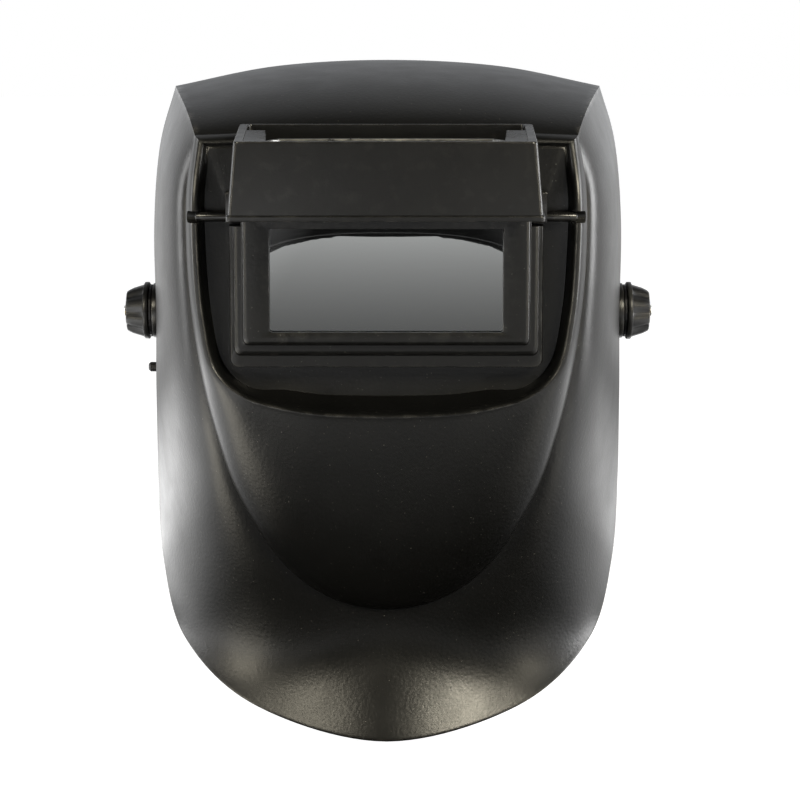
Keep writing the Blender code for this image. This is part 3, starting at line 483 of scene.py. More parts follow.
def helmet_shell(finish):
    """The shell, with pads at its pivots, slots for the hinge pins and holes for the pegs."""
    shell = skinned("shell_skin", shell_rows(), join_ends=True)
    pad = ((PIVOT_WALL_IN, PIVOT_PAD_RADIUS), (PIVOT_WALL_OUT - 0.5, PIVOT_PAD_RADIUS),
           (PIVOT_WALL_OUT - 0.15, PIVOT_PAD_RADIUS - 0.15),
           (PIVOT_WALL_OUT, PIVOT_PAD_RADIUS - 0.5))
    pads = [[circle_x(side * x, radius, sides=72) for x, radius in pad] for side in (-1, 1)]
    combine(shell, skinned("pivot_pads", *pads), "UNION")
    slot = [(0, CUT_AHEAD, HINGE_Z - PIN_ROOM), (0, CUT_AHEAD, HINGE_Z + PIN_ROOM)]
    for step in range(17):
        back, up = polar(PIN_ROOM, 90 - 180 * step / 16)
        slot.append((0, HINGE_Y + back, HINGE_Z + up))
    low, high = NOTCH_Z
    notch = [(0, -142, low), (0, FLOOR_Y - 0.2, low), (0, FLOOR_Y - 0.2, high), (0, -142, high)]
    cuts = []
    for side in (-1, 1):
        cuts.append([circle_x(side * x, PIVOT_BORE_RADIUS) for x in (105, 125)])
        cuts.append([shift(slot, (side * x, 0, 0)) for x in PIN_SLOT_X])
        cuts.append([shift(notch, (side * x, 0, 0)) for x in NOTCH_X])
    cuts += [[circle_x(x, PEG_HOLE_RADIUS, peg_centre(angle), 32) for x in (-105, -125)]
             for angle in PEG_ANGLES]
    combine(shell, skinned("shell_cutter", *cuts))
    return finished(shell, finish, "shell", ["helmet_shell"], sharp=26)


# ---- flip-up lens holder ----
def hinge_place():
    return (Matrix.Translation(Vector((0, HINGE_Y, HINGE_Z)) * MM)
            @ Matrix.Rotation(-OPEN_ANGLE, 4, "X"))


def rounded_block(name, corners, offset, radius):
    """A block between a flat outline and its copy at an offset, with bevelled edges."""
    bm = bmesh.new()
    start = [bm.verts.new(Vector(p) * MM) for p in corners]
    end = [bm.verts.new((Vector(p) + Vector(offset)) * MM) for p in corners]
    bm.faces.new(start)
    bm.faces.new(end)
    for i in range(len(start)):
        bm.faces.new((start[i - 1], start[i], end[i], end[i - 1]))
    bmesh.ops.bevel(bm, geom=bm.edges[:], offset=radius * MM, offset_type="OFFSET",
                    segments=2, profile=0.5, affect="EDGES", clamp_overlap=True)
    return new_object(name, bm)


def flip_holder(finish):
    seat = HOLDER_FACE + 14.0
    pane_low, pane_high = HOLDER_LENS_Z - WINDOW_HALF[1], HOLDER_LENS_Z + WINDOW_HALF[1]
    rings = [rectangle(depth, wide, low, high, flare=flare)
             for depth, wide, low, high, flare in (
                 (HOLDER_RIM, 66.0, -59.3, 4.4, 0), (HOLDER_RIM - 2.2, 66.0, -59.3, 4.4, 0),
                 (HOLDER_RIM - 2.6, 65.2, -58.7, 3.9, 0),
                 (HOLDER_FACE, 62.5, -56.3, 2.9, 1.3), (HOLDER_FACE, 58.6, -54.4, 0.9, 1.3),
                 (seat, 58.2, -54.2, 0.7, 1.0), (seat, WINDOW_HALF[0], pane_low, pane_high, 0),
                 (seat + 2.2, WINDOW_HALF[0], pane_low, pane_high, 0),
                 (seat + 2.2, 61.6, -55.4, 0.9, 0), (HOLDER_RIM, 64.0, -57.4, 2.6, 0))]
    radii = {0: 0.45, 1: 0.5, 3: 0.9, 4: 0.7, 5: 0.6, 6: 0.4, 7: 0.4, 8: 0.6, 9: 0.45}
    holder = skinned("lens_holder", softened(rings, radii), join_ends=True)
    pin = ((68.0, PIN_RADIUS), (RIDGE_PIN_X - 1.0, PIN_RADIUS),
           (RIDGE_PIN_X - 0.4, PIN_RADIUS - 0.25), (RIDGE_PIN_X, PIN_RADIUS - 0.8))
    for side in (-1, 1):
        ear = [(side * 64.3, y, z)
               for y, z in ((-11.0, -2.3), (2.4, -2.3), (2.4, 2.6), (-11.0, 4.0))]
        lug = [(side * x, HOLDER_FACE + 0.4, z)
               for x, z in ((49.0, -55.0), (59.5, -55.0), (60.2, -16.0), (51.5, -16.0))]
        for part in (rounded_block("holder_ear", ear, (side * 6.1, 0, 0), 0.45),
                     skinned("holder_pin", [circle_x(side * x, radius, sides=32)
                                            for x, radius in pin]),
                     rounded_block("holder_lug", lug, (0, 1.0, 0), 0.3)):
            combine(holder, part, "UNION")
    return finished(holder, finish, "flip_front", ["flip_holder"], sharp=30,
                    place=hinge_place())


# ---- side pivots ----
def fluted(radius, depth, lobes, sharpness):
    """A knob's radius as a function of the angle: broad lobes with narrower hollows."""
    return lambda angle: radius - depth * (0.5 + 0.5 * math.cos(lobes * angle)) ** sharpness


def tension_knob(side, label, finish):
    """Fluted knob on a flanged foot, with a sunk end and a bore for its insert."""
    from_base = ((0, 13.6, 0), (0.25, 14.05, 0), (0.6, 14.2, 0), (1.9, 14.2, 0), (2.3, 14.0, 0),
                 (2.55, 13.4, 0.9), (3.1, 13.2, 1.3))
    from_tip = ((3.0, 11.6, 1.5), (1.0, 10.6, 1.3), (0.35, 10.2, 1.0), (0, 9.4, 0.7),
                (0, 7.0, 0), (0.3, 6.4, 0), (0.3, 5.9, 0), (0.6, 5.6, 0), (8.2, 5.6, 0),
                (8.2, 3.5, 0))
    profile = [(KNOB_BASE + rise, radius, depth) for rise, radius, depth in from_base]
    profile += [(KNOB_TIP - fall, radius, depth) for fall, radius, depth in from_tip]
    profile.append((KNOB_BASE, 3.5, 0))
    rings = [circle_x(side * x, fluted(radius, depth, lobes=8, sharpness=1.6), sides=128)
             for x, radius, depth in profile]
    return finished(skinned("fluted_knob_" + label, rings, join_ends=True), finish,
                    "knob_" + label, ["tension_knob_" + label])


def threaded(x):
    """The stud's radius at x along its thread, as a function of the angle."""
    run_out = max(0.0, min(1.0, (x - THREAD_START) / 1.5, (STUD_TIP - x) / 0.8))
    pointed = 0.5 * max(0.0, 1 - (STUD_TIP - x) / 0.8)

    def radius(angle):
        phase = (x / THREAD_PITCH - angle / (2 * math.pi)) % 1.0
        return STUD_RADIUS - THREAD_DEPTH * (1 - abs(2 * phase - 1)) * run_out - pointed

    return radius


def pivot_stud(side, label, finish):
    """Headed stud whose outer end carries a helical thread."""
    profile = [(97.8, 5.6), (98.0, 6.2), (98.4, 6.6), (102.0, 6.6), (102.2, 6.4),
               (102.2, STUD_RADIUS), (THREAD_START, STUD_RADIUS)]
    x = THREAD_START + 0.2
    while x < STUD_TIP - 0.1:
        profile.append((x, threaded(x)))
        x += THREAD_PITCH / 8
    profile.append((STUD_TIP, STUD_RADIUS - 0.75))
    rings = [circle_x(side * x, radius, sides=40) for x, radius in profile]
    return finished(skinned("threaded_stud_" + label, rings), finish, "headgear",
                    ["pivot_stud_" + label])


# ---- headgear ----
def head_place():
    return (Matrix.Translation((0, 0, HEAD_LIFT * MM)) @ Matrix.Rotation(-HEAD_LEAN, 4, "X"))


def band_path(offset, start_degrees=180.0, steps=64):
    """Plan of the headband at an offset outside its middle line, from one end to the other."""
    wide, long = BAND_HALF_WIDTH + offset, BAND_HALF_LENGTH + offset
    radius = REAR_CORNER_RADIUS + offset
    corner_x = wide - radius
    half = []
    if start_degrees > 90:
        half += [(BAND_END_X + (corner_x - BAND_END_X) * i / 4, long) for i in range(4)]
        corner_steps = 24
        for step in range(corner_steps + 1):
            across, back = polar(radius, 90 - 90 * step / corner_steps)
            half.append((corner_x + across, long - radius + back))
        half += [(wide, (long - radius) * (1 - i / 16)) for i in range(1, 16)]
        start_degrees = 90
    for step in range(steps + 1):
        angle = math.radians(start_degrees * (1 - step / steps))
        half.append(forehead_point(angle, wide, long))
    return half + [(-x, y) for x, y in half[-2::-1]]


def forehead_point(angle, wide, long):
    """A plan point of the forehead's superellipse, at an angle from its middle."""
    across = abs(math.sin(angle)) ** (2 / FOREHEAD_POWER)
    ahead = max(0.0, math.cos(angle)) ** (2 / FOREHEAD_POWER)
    return math.copysign(wide * across, angle), -long * ahead


def ribbon_ring(inner, outer, tall, bead):
    """Section of a moulded strip: rounded edges, and a bead inside each edge."""
    (xi, yi), (xo, yo) = inner, outer
    out = Vector((xo - xi, yo - yi, 0))
    middle = Vector(((xi + xo) / 2, (yi + yo) / 2, 0))
    foot = [(-0.28, -1.0, 0.0), (0.28, -1.0, 0.0), (0.5, -1.0, 0.5), (0.5 + bead, -1.0, 1.4),
            (0.5 + bead, -1.0, 2.4), (0.5, -1.0, 3.2)]
    head = [(share, -end, -rise) for share, end, rise in reversed(foot)]
    inside = [(-0.5, 1.0, -0.5), (-0.5, 0.0, 0.0), (-0.5, -1.0, 0.5)]
    profile = foot + [(0.5, 0.0, 0.0)] + head + inside
    return [middle + out * share + Vector((0, 0, tall * end + rise))
            for share, end, rise in profile]


def headband(finish):
    """The moulded band: beaded edges, narrowing to the ratchet at both ends."""
    half = BAND_THICKNESS / 2
    inner, outer = band_path(-half), band_path(half)
    count = len(inner)
    rings = []
    for index in range(count):
        from_end = min(index, count - 1 - index)
        tall = min(BAND_HALF_HEIGHT, 6.6 + 0.8 * from_end / 3.5)
        bead = 0.0 if inner[index][1] > 90 or from_end < 28 else 0.1
        rings.append(ribbon_ring(inner[index], outer[index], tall, bead))
    band = skinned("moulded_headband", rings)
    places = [(place, 1.9) for place in RIVETS] + [((CROWN_Y, 0), CROWN_HOLE_RADIUS)]
    holes = [[circle_x(side * x, radius, place, 24) for x in (70, 86)]
             for side in (-1, 1) for place, radius in places]
    combine(band, skinned("band_holes", *holes))
    return finished(band, finish, "headgear", ["headband"],
                    place=head_place())


def crown_point(turn, reach):
    """A point on the crown arch; turn runs from 0 at the right ear to pi at the left."""
    height = CROWN_BASE + (CROWN_HEIGHT - CROWN_BASE + reach) * math.sin(turn)
    return Vector(((BAND_HALF_WIDTH + reach) * math.cos(turn),
                   CROWN_Y - CROWN_SLOPE * height, height))


def crown_hole(x, z, sides=24):
    """A ring square to Z at the top of the crown."""
    y = CROWN_Y - CROWN_SLOPE * (CROWN_HEIGHT + 3.0)
    places = (polar(CROWN_HOLE_RADIUS, 360 * i / sides) for i in range(sides))
    return [(x + across, y + back, z) for across, back in places]


def crown_strap(side, label, reach, finish):
    """One half of the crown strap: rounded edges, a shallow rib and adjusting holes."""
    overlap, half_width, steps = math.radians(104), 9.0, 72
    low = BAND_THICKNESS / 2 + 0.3
    places = [(0.0, -23.0 + 16.0 * i / 6) for i in range(7)]
    places += [(overlap * i / steps, 0.0) for i in range(steps + 1)]
    edge = [(0.0, -0.96), (0.25, -1.0), (0.75, -1.0), (1.0, -0.96), (1.0, -0.80), (0.86, -0.74)]
    other_edge = [(depth, -across) for depth, across in reversed(edge)]
    section = edge + [(0.86, 0.0)] + other_edge + [(0.0, 0.0)]
    rings = []
    for turn, drop in places:
        out = low + (reach - 1.3) * min(1.0, turn / 0.9)
        inner, outer = crown_point(turn, out), crown_point(turn, out + 1.4)
        ring = []
        for depth, across in section:
            point = inner.lerp(outer, depth)
            ring.append((side * point.x, point.y + half_width * across - CROWN_SLOPE * drop,
                         point.z + drop))
        rings.append(ring)
    strap = skinned("moulded_crown_strap_" + label, rings)
    holes = [[circle_x(side * x, CROWN_HOLE_RADIUS, (CROWN_Y, 0), 24) for x in (76, 86)]]
    holes += [[crown_hole(x, z) for z in (92, 112)] for x in (-10.0, 0.0, 10.0)]
    combine(strap, skinned("strap_holes", *holes))
    return finished(strap, finish, "headgear", ["crown_strap_" + label],
                    place=head_place())


def ratchet_knob(finish):
    """Scalloped knob at the back, with a sunk face."""
    profile = ((0.0, 17.2, 0.3), (0.3, 17.9, 0.6), (1.0, 18.6, 1.0), (1.6, 19.0, 1.0),
               (6.0, 18.7, 1.0), (10.4, 18.2, 1.0), (11.6, 17.8, 1.0), (12.3, 17.1, 0.8),
               (12.6, 16.2, 0.4), (12.6, 13.2, 0.0), (12.3, 12.6, 0.0), (11.4, 12.2, 0.0),
               (11.2, 11.6, 0.0), (11.2, 6.4, 0.0), (11.6, 5.8, 0.0), (11.6, 5.2, 0.0),
               (9.5, 5.2, 0.0), (9.5, 2.4, 0.0), (5.0, 2.4, 0.0), (5.0, 4.8, 0.0),
               (0.0, 4.8, 0.0))
    rings = []
    for depth, radius, share in profile:
        ring = circle_x(depth, fluted(radius, 0.10 * radius * share, lobes=15, sharpness=1.8),
                        sides=180)
        rings.append([(across, KNOB_BACK + back, rise) for back, across, rise in ring])
    return finished(skinned("scalloped_ratchet_knob", rings, join_ends=True), finish,
                    "ratchet_drive", ["ratchet_knob"], place=head_place())


# ---- padded pieces ----
def inflate(pad, voxel, pressure, cap, frames=20):
    """Swell a closed form with a cloth simulation, no point moving further than the cap."""
    remesh = pad.modifiers.new("Remesh", "REMESH")
    remesh.mode = "VOXEL"
    remesh.voxel_size = voxel * MM
    apply_modifiers(pad)
    rest = [point.co.copy() for point in pad.data.vertices]
    cloth = pad.modifiers.new("Cloth", "CLOTH")
    settings = cloth.settings
    settings.use_pressure = True
    settings.uniform_pressure_force = pressure
    settings.effector_weights.gravity = 0
    settings.mass = 0.05
    scene = bpy.context.scene
    for number in range(1, frames + 1):
        scene.frame_set(number)
    graph = bpy.context.evaluated_depsgraph_get()
    evaluated = pad.evaluated_get(graph)
    moved = [point.co.copy() for point in evaluated.data.vertices]
    pad.modifiers.clear()
    for point, start, end in zip(pad.data.vertices, rest, moved):
        step = end - start
        if step.length > cap * MM:
            step = step.normalized() * cap * MM
        point.co = start + step
    scene.frame_set(1)
    soft = pad.modifiers.new("Smooth", "SMOOTH")
    soft.factor, soft.iterations = 0.5, 3
    surface = pad.modifiers.new("Subdivision", "SUBSURF")
    surface.levels = surface.render_levels = 1
    apply_modifiers(pad)


def ribbon_rings(path_in, path_out, half_height, cuts):
    """Rings of a strip standing on edge, cut across its height, to be swelled afterwards."""
    levels = [half_height * (2 * i / cuts - 1) for i in range(cuts + 1)]
    return [[(xi, yi, z) for z in levels] + [(xo, yo, -z) for z in levels]
            for (xi, yi), (xo, yo) in zip(path_in, path_out)]


def groove(distance, width):
    """How far a sewn line pulls in the pad at a distance from it, from 0 to 1."""
    return math.exp(-(distance / width) ** 2)


def reshape(pad, change):
    """Move every point of a pad; the change works on places in millimetres."""
    for point in pad.data.vertices:
        point.co = change(point.co / MM) * MM
    pad.data.update()


def sweatband(finish, thread):
    """Padded forehead band with two sewn lines along it and sewn channels across it."""
    faces = [band_path(offset, PAD_END) for offset in PAD_FACES]
    pad = skinned("padded_sweatband", ribbon_rings(*faces, PAD_HALF_HEIGHT, cuts=8))
    inflate(pad, voxel=1.5, pressure=5.0, cap=0.9)
    wide, long = BAND_HALF_WIDTH + PAD_MIDDLE, BAND_HALF_LENGTH + PAD_MIDDLE
    line, runs = plan_line(math.radians(PAD_END), wide, long)
    channels = [runs[-1] * (number + 0.5) / PAD_CHANNELS for number in range(PAD_CHANNELS)]

    def sew(place):
        middle, run = nearest_on_line(place, line, runs)
        sewn = groove(abs(place.z) - PAD_SEAM_Z, 0.75)
        if abs(place.z) < PAD_HALF_HEIGHT - 2.4:
            sewn = max(sewn, groove(min(abs(run - channel) for channel in channels), 0.9))
        wrinkle = 0.16 * noise.noise(place * 0.22) + 0.08 * noise.noise(place * 0.6)
        away = place - middle
        return middle + away * (1.0 - 0.55 * sewn) + away.normalized() * wrinkle * (1 - sewn)

    reshape(pad, sew)
    made = finished(pad, finish, "headgear", ["sweatband"], sharp=180,
                    place=head_place())

    bm = bmesh.new()
    length, gap = 2.3, 1.3
    for face in (-1.15, 1.15):
        line, runs = plan_line(math.radians(PAD_END - 2), wide + face, long + face)
        count = int(runs[-1] / (length + gap))
        for number in range(count):
            start = (number + 0.5) * runs[-1] / count - length / 2
            for z in (PAD_SEAM_Z, -PAD_SEAM_Z):
                stitch(bm, line, runs, start, length, z)
    sewing = new_object("sweatband_stitches", bm)
    return finished(sewing, thread, "headgear", place=head_place(), sharp=60)


def plan_line(end, wide, long, steps=240):
    """The forehead's plan from one end angle to the other, and the length run at each point."""
    line = [Vector(forehead_point(end * (2 * i / steps - 1), wide, long))
            for i in range(steps + 1)]
    runs = [0.0]
    for before, after in zip(line, line[1:]):
        runs.append(runs[-1] + (after - before).length)
    return line, runs


def nearest_on_line(place, line, runs):
    """The plan point nearest to a place, at the place's own height, and its run."""
    flat = Vector((place.x, place.y))
    index = min(range(len(line)), key=lambda i: (line[i] - flat).length_squared)
    return Vector((*line[index], place.z)), runs[index]


def at_run(line, runs, run):
    """The plan point at a run along the line, and the direction square to it."""
    index = min(max(bisect.bisect_left(runs, run), 1), len(line) - 1)
    before, after = line[index - 1], line[index]
    share = (run - runs[index - 1]) / (runs[index] - runs[index - 1])
    along = (after - before).normalized()
    return before.lerp(after, share), Vector((along.y, -along.x))


def stitch(bm, line, runs, start, length, z):
    """One thread stitch: a short bowed strand along the band's plan."""
    sides, steps, radius = 6, 5, 0.32
    rings = []
    for step in range(steps + 1):
        t = step / steps
        middle, across = at_run(line, runs, start + length * t)
        centre, out = Vector((*middle, z)), Vector((*across, 0.0))
        thick = radius * math.sqrt(max(0.04, 1 - (2 * t - 1) ** 4))
        rings.append([centre + thick * (out * math.cos(a) + Vector((0, 0, math.sin(a))))
                      for a in (2 * math.pi * i / sides for i in range(sides))])
    add_rings(bm, rings)


def nape_pad(finish):
    """Flat cushion on the front of the ratchet housing, sewn along its outline."""
    low, high = NAPE_Y[0] + 0.8, NAPE_Y[1] - 0.8
    wide, tall = NAPE_HALF
    outlines = ((low, wide - 2.6, tall - 2.2), (low + 0.9, wide, tall), (high - 0.6, wide, tall),
                (high, wide - 1.2, tall - 1.0))
    pad = skinned("padded_nape_cushion", [rectangle(y, across, -up, up, 6.0, 5)
                                          for y, across, up in outlines])
    inflate(pad, voxel=1.5, pressure=4.0, cap=0.7)
    middle = 0.5 * (low + high) + 0.6

    def sew(place):
        inset = min(wide - abs(place.x), tall - abs(place.z))
        sewn = max([groove(inset - 2.6, 0.8)]
                   + [groove(place.x - channel, 0.9) for channel in NAPE_CHANNELS])
        place.y = middle + (place.y - middle) * (1 - 0.45 * sewn)
        place.y += 0.14 * noise.noise(place * 0.25) * (1 - sewn)
        return place

    reshape(pad, sew)
    made = finished(pad, finish, "headgear", ["nape_pad"], sharp=180,
                    place=head_place())
    return made


# ---- materials ----
NOISE_ROUGHNESS = 0.55
MIDDLE_RANGE = (0.3, 0.7)       # where most of a noise's values lie


def feed(tree, node, inputs):
    """Fill a node's inputs by name or number: outputs are linked, other values are set."""
    for name, value in inputs.items():
        socket = node.inputs[name]
        if isinstance(value, bpy.types.NodeSocket):
            tree.links.new(value, socket)
        elif socket.type == "RGBA":
            socket.default_value = (*value, 1.0)
        else:
            socket.default_value = value
    return node


class Finish:
    """A material under construction: its shader and the nodes that feed it."""

    def __init__(self, name, colour, roughness, **values):
        self.material = bpy.data.materials.new(name)
        self.material.use_nodes = True
        self.tree = self.material.node_tree
        self.shader = self.tree.nodes["Principled BSDF"]
        inputs = {"Base Color": colour, "Roughness": roughness}
        for key, value in values.items():
            inputs[key.replace("_", " ").title().replace("Ior", "IOR")] = value
        feed(self.tree, self.shader, inputs)
        self.place = self.add("ShaderNodeTexCoord", {}).outputs["Object"]

    def add(self, kind, inputs, **settings):
        node = self.tree.nodes.new(kind)
        for name, value in settings.items():
            setattr(node, name, value)
        return feed(self.tree, node, inputs)

    def noise(self, scale, detail=3.0, stretch=None):
        place = self.place
        if stretch:
            mapping = self.add("ShaderNodeMapping", {"Scale": stretch, "Vector": place})
            place = mapping.outputs["Vector"]
        return self.add("ShaderNodeTexNoise", {
            "Scale": scale, "Detail": detail, "Roughness": NOISE_ROUGHNESS,
            "Vector": place}).outputs["Fac"]

    def cells(self, scale, feature="F1", output="Distance"):
        return self.add("ShaderNodeTexVoronoi", {"Scale": scale, "Vector": self.place},
                        feature=feature).outputs[output]

    def span(self, value, low, high, start=0.0, end=1.0):
        """Map a value's range low..high to start..end, held within it."""
        return self.add("ShaderNodeMapRange", {
            "From Min": low, "From Max": high, "To Min": start, "To Max": end,
            "Value": value}).outputs["Result"]

    def maths(self, operation, first, second):
        return self.add("ShaderNodeMath", {0: first, 1: second},
                        operation=operation).outputs["Value"]

    def mix(self, share, first, second):
        """Mix two colours, each a tuple or an output."""
        return self.add("ShaderNodeMix", {"Factor": share, 6: first, 7: second},
                        data_type="RGBA").outputs[2]

    def colour(self, output):
        feed(self.tree, self.shader, {"Base Color": output})

    def rough(self, output):
        feed(self.tree, self.shader, {"Roughness": output})

    # The marked edge share, used for edge wear and, on the moulded plastics, also for a painted
    # edge highlight.
    def wear(self):
        return self.add("ShaderNodeAttribute", {}, attribute_name="wear").outputs["Fac"]

    def bump(self, *layers):
        """Stack bumps, each given as (height output, depth in millimetres)."""
        below = {}
        for height, depth in layers:
            node = self.add("ShaderNodeBump", {
                "Strength": 1.0, "Distance": depth * MM, "Height": height, **below})
            below = {"Normal": node.outputs["Normal"]}
        feed(self.tree, self.shader, below)


def moulded_plastic(name, colour, lighter, roughness, grain, grain_depth, glint_flecks=0.0):
    """Black moulded plastic: leather grain, a cloudy sheen, edges lightened partly as rubbed wear
    and partly as a painted highlight, and tiny light specks painted as glints.
    """
    made = Finish(name, colour, roughness, specular_ior_level=0.5)
    base = made.mix(made.span(made.noise(14.0, 4.0), 0.35, 0.7), colour, lighter)
    # Convex edges turn lighter and cream-tinted: partly rubbed wear, partly a painted highlight.
    # The same share also makes them smoother.
    rubbed_and_highlit_edges = made.maths("MULTIPLY", made.wear(), made.span(made.noise(160.0, 5.0), 0.38, 0.66))
    base = made.mix(made.span(rubbed_and_highlit_edges, 0.15, 1.0, 0.0, 0.30), base, (0.12, 0.117, 0.108))
    # Tiny light specks on the grain: painted sparkle glints.
    if glint_flecks:
        glint_fleck = made.span(made.cells(2600.0, output="Color"), 0.93, 0.99, 0.0, glint_flecks)
        base = made.mix(glint_fleck, base, (0.35, 0.34, 0.31))
    made.colour(base)
    cloudy = made.span(made.noise(60.0, 4.0), *MIDDLE_RANGE, roughness - 0.02, roughness + 0.03)
    made.rough(made.maths("SUBTRACT", cloudy, made.span(rubbed_and_highlit_edges, 0.0, 1.0, 0.0, 0.12)))
    made.bump((made.noise(45.0, 2.0), 0.03), (made.cells(grain, "SMOOTH_F1"), grain_depth),
              (made.noise(grain * 2.6, 3.0), grain_depth * 0.45))
    return made.material


def plain_finish(name, colour, roughness, mottle, polish, relief, **values):
    """A finish with a mottled colour, uneven roughness and one bump, each of them optional.

    A noise is (scale, detail, stretch); mottle is (noise, low, high, dark, light), polish is
    (noise, low, high, smooth, rough) and relief is (noise, depth in millimetres).
    """
    made = Finish(name, colour, roughness, **values)
    if mottle:
        grain, low, high, dark, light = mottle
        made.colour(made.mix(made.span(made.noise(*grain), low, high), dark, light))
    if polish:
        grain, *limits = polish
        made.rough(made.span(made.noise(*grain), *limits))
    if relief:
        grain, depth = relief
        made.bump((made.noise(*grain), depth))
    return made.material


def plain_finishes():
    """The finishes of the metals, rubber, fibre, thread and glasses, by short names."""
    return {
        "steel": plain_finish(
            "zinc plated steel", (0.50, 0.50, 0.48), 0.34,
            ((220.0, 4.0), 0.35, 0.7, (0.40, 0.40, 0.39), (0.58, 0.57, 0.54)),
            ((380.0, 4.0), *MIDDLE_RANGE, 0.26, 0.46), ((900.0, 2.0, (1.0, 1.0, 6.0)), 0.015),
            metallic=1.0),
        "brass": plain_finish(
            "turned brass", (0.58, 0.42, 0.17), 0.3,
            ((180.0, 4.0), 0.35, 0.7, (0.45, 0.31, 0.12), (0.66, 0.50, 0.22)),
            ((260.0, 3.0), *MIDDLE_RANGE, 0.22, 0.42), ((700.0, 2.0, (8.0, 1.0, 1.0)), 0.02),
            metallic=1.0),
        "rubber": plain_finish(
            "black rubber", (0.018, 0.018, 0.018), 0.78,
            ((120.0, 4.0), 0.35, 0.75, (0.014, 0.014, 0.014), (0.036, 0.036, 0.034)),
            ((200.0, 3.0), *MIDDLE_RANGE, 0.68, 0.86), ((800.0, 3.0), 0.03)),
        "fibre": plain_finish(
            "pressed fibre", (0.22, 0.085, 0.05), 0.8,
            ((500.0, 5.0, (1, 1, 4)), 0.35, 0.7, (0.15, 0.055, 0.035), (0.30, 0.13, 0.08)),
            ((300.0, 3.0), *MIDDLE_RANGE, 0.7, 0.9), ((900.0, 4.0), 0.05)),
        "thread": plain_finish(
            "sewing thread", (0.03, 0.03, 0.032), 0.75,
            ((900.0, 3.0), *MIDDLE_RANGE, (0.018, 0.018, 0.02), (0.045, 0.045, 0.047)),
            None, ((3000.0, 3.0), 0.04), sheen_weight=0.2),
        "clear glass": plain_finish(
            "clear lens glass", (0.93, 0.95, 0.94), 0.03, None,
            ((90.0, 5.0, (1.0, 1.0, 7.0)), 0.5, 0.85, 0.02, 0.10), None,
            transmission_weight=1.0, ior=1.49),
        "dark glass": plain_finish(
            "dark filter glass", (0.006, 0.02, 0.012), 0.05,
            ((30.0, 2.0), *MIDDLE_RANGE, (0.005, 0.018, 0.011), (0.009, 0.028, 0.016)),
            ((70.0, 4.0), 0.4, 0.8, 0.03, 0.10), None, ior=1.52, specular_ior_level=0.6),
    }


def blackened_steel():
    """Blackened steel, rubbed to bare metal where its piece has marked wear."""
    black = (0.045, 0.045, 0.047)
    made = Finish("blackened washer steel", black, 0.42, metallic=1.0)
    rubbed_and_highlit_edges = made.maths("MULTIPLY", made.wear(), made.span(made.noise(300.0, 4.0), 0.4, 0.65))
    made.colour(made.mix(rubbed_and_highlit_edges, black, (0.30, 0.29, 0.28)))
    made.rough(made.span(made.noise(300.0, 4.0), *MIDDLE_RANGE, 0.34, 0.52))
    made.bump((made.noise(1200.0, 2.0), 0.012))
    return made.material


def brushed_cloth(name, dark, light):
    """Soft cloth over foam: a fine weave in bump and colour, with a fuzzy sheen."""
    made = Finish(name, dark, 0.92, sheen_weight=0.45, sheen_roughness=0.5,
                  sheen_tint=(0.55, 0.55, 0.58))
    threads = made.maths("MULTIPLY", *[
        made.add("ShaderNodeTexWave", {"Scale": 420.0, "Distortion": 1.2, "Detail": 2.0,
                                       "Vector": made.place}, bands_direction=axis).outputs["Fac"]
        for axis in ("X", "Z")])
    fuzz = made.noise(2200.0, 4.0)
    base = made.mix(made.span(threads, 0.0, 0.8), dark, light)
    made.colour(made.mix(made.span(made.noise(40.0, 4.0), 0.4, 0.75, 0.0, 0.5), base, light))
    made.rough(made.span(fuzz, 0.2, 0.8, 0.84, 0.98))
    made.bump((threads, 0.10), (fuzz, 0.05))
    return made.material


# ---- carried-over CAD nodes ----
SHARP_EDGE = math.radians(40.0)


def dress(node, finish, bevel):
    """Give a CAD node its material, and round its edges without touching its mesh."""
    made = frame["nodes"][node]
    made.data.materials.clear()
    made.data.materials.append(finish)
    weld = made.modifiers.new("Weld", "WELD")
    weld.merge_threshold = 0.005 * MM
    edge = made.modifiers.new("Bevel", "BEVEL")
    edge.width = bevel * MM
    edge.segments = 2
    edge.limit_method = "ANGLE"
    edge.angle_limit = SHARP_EDGE
    edge.harden_normals = False
    edge.use_clamp_overlap = True


# ---- stage, lights and camera ----
CAMERA_RISE = math.radians(8.0)
CAMERA_DISTANCE = 1.138
CAMERA_TARGET = Vector((0.006, 0.0, -0.045))
CAMERA_LENS = 102.42
ROOM_FRONT, ROOM_BACK = 0.04, 0.66      # brightness of the room around the object
TABLE_AHEAD = 0.60              # brightness of the floor as the object sees it, in front
TABLE_LEFT, TABLE_RIGHT = 3.8, 2.2      # beside it
TABLE_FAR = 0.12                # and the share of that left far away
FLOOR_GLOW = 0.93
FLOOR_HALF, FLOOR_DROP = 40.0, 0.0004
LENS_VIEW_SHADOW = (0.12, 0.40)             # the floor's brightness through the lens, near and far: a painted shadow of the helmet, darker near it
WHITE, WARM = (1.0, 1.0, 1.0), (1.0, 0.93, 0.76)
MIDDLE = Vector((0.0, -0.09, -0.03))    # what the lights face

# Soft boxes on each side: name, azimuth, elevation, distance, size, radiance on the left and
# on the right, and colour. Azimuth 0 is in front of the object and 90 is at +X.
SIDE_BOXES = (("side_box", 96, 0, 1.3, (0.50, 1.3), (7.0, 13.0), WHITE),
              ("rear_side_box", 142, 2, 1.4, (1.1, 1.3), (0.8, 0.8), WHITE),
              ("warm_box", 33, 30, 1.6, (0.28, 0.45), (25.0, 52.0), WARM),
              ("crest_box", 56, 6, 1.3, (0.22, 0.36), (9.0, 9.0), WARM),
              ("low_warm_box", 62, -27, 0.27, (0.10, 0.12), (3.6, 0.5), WARM))


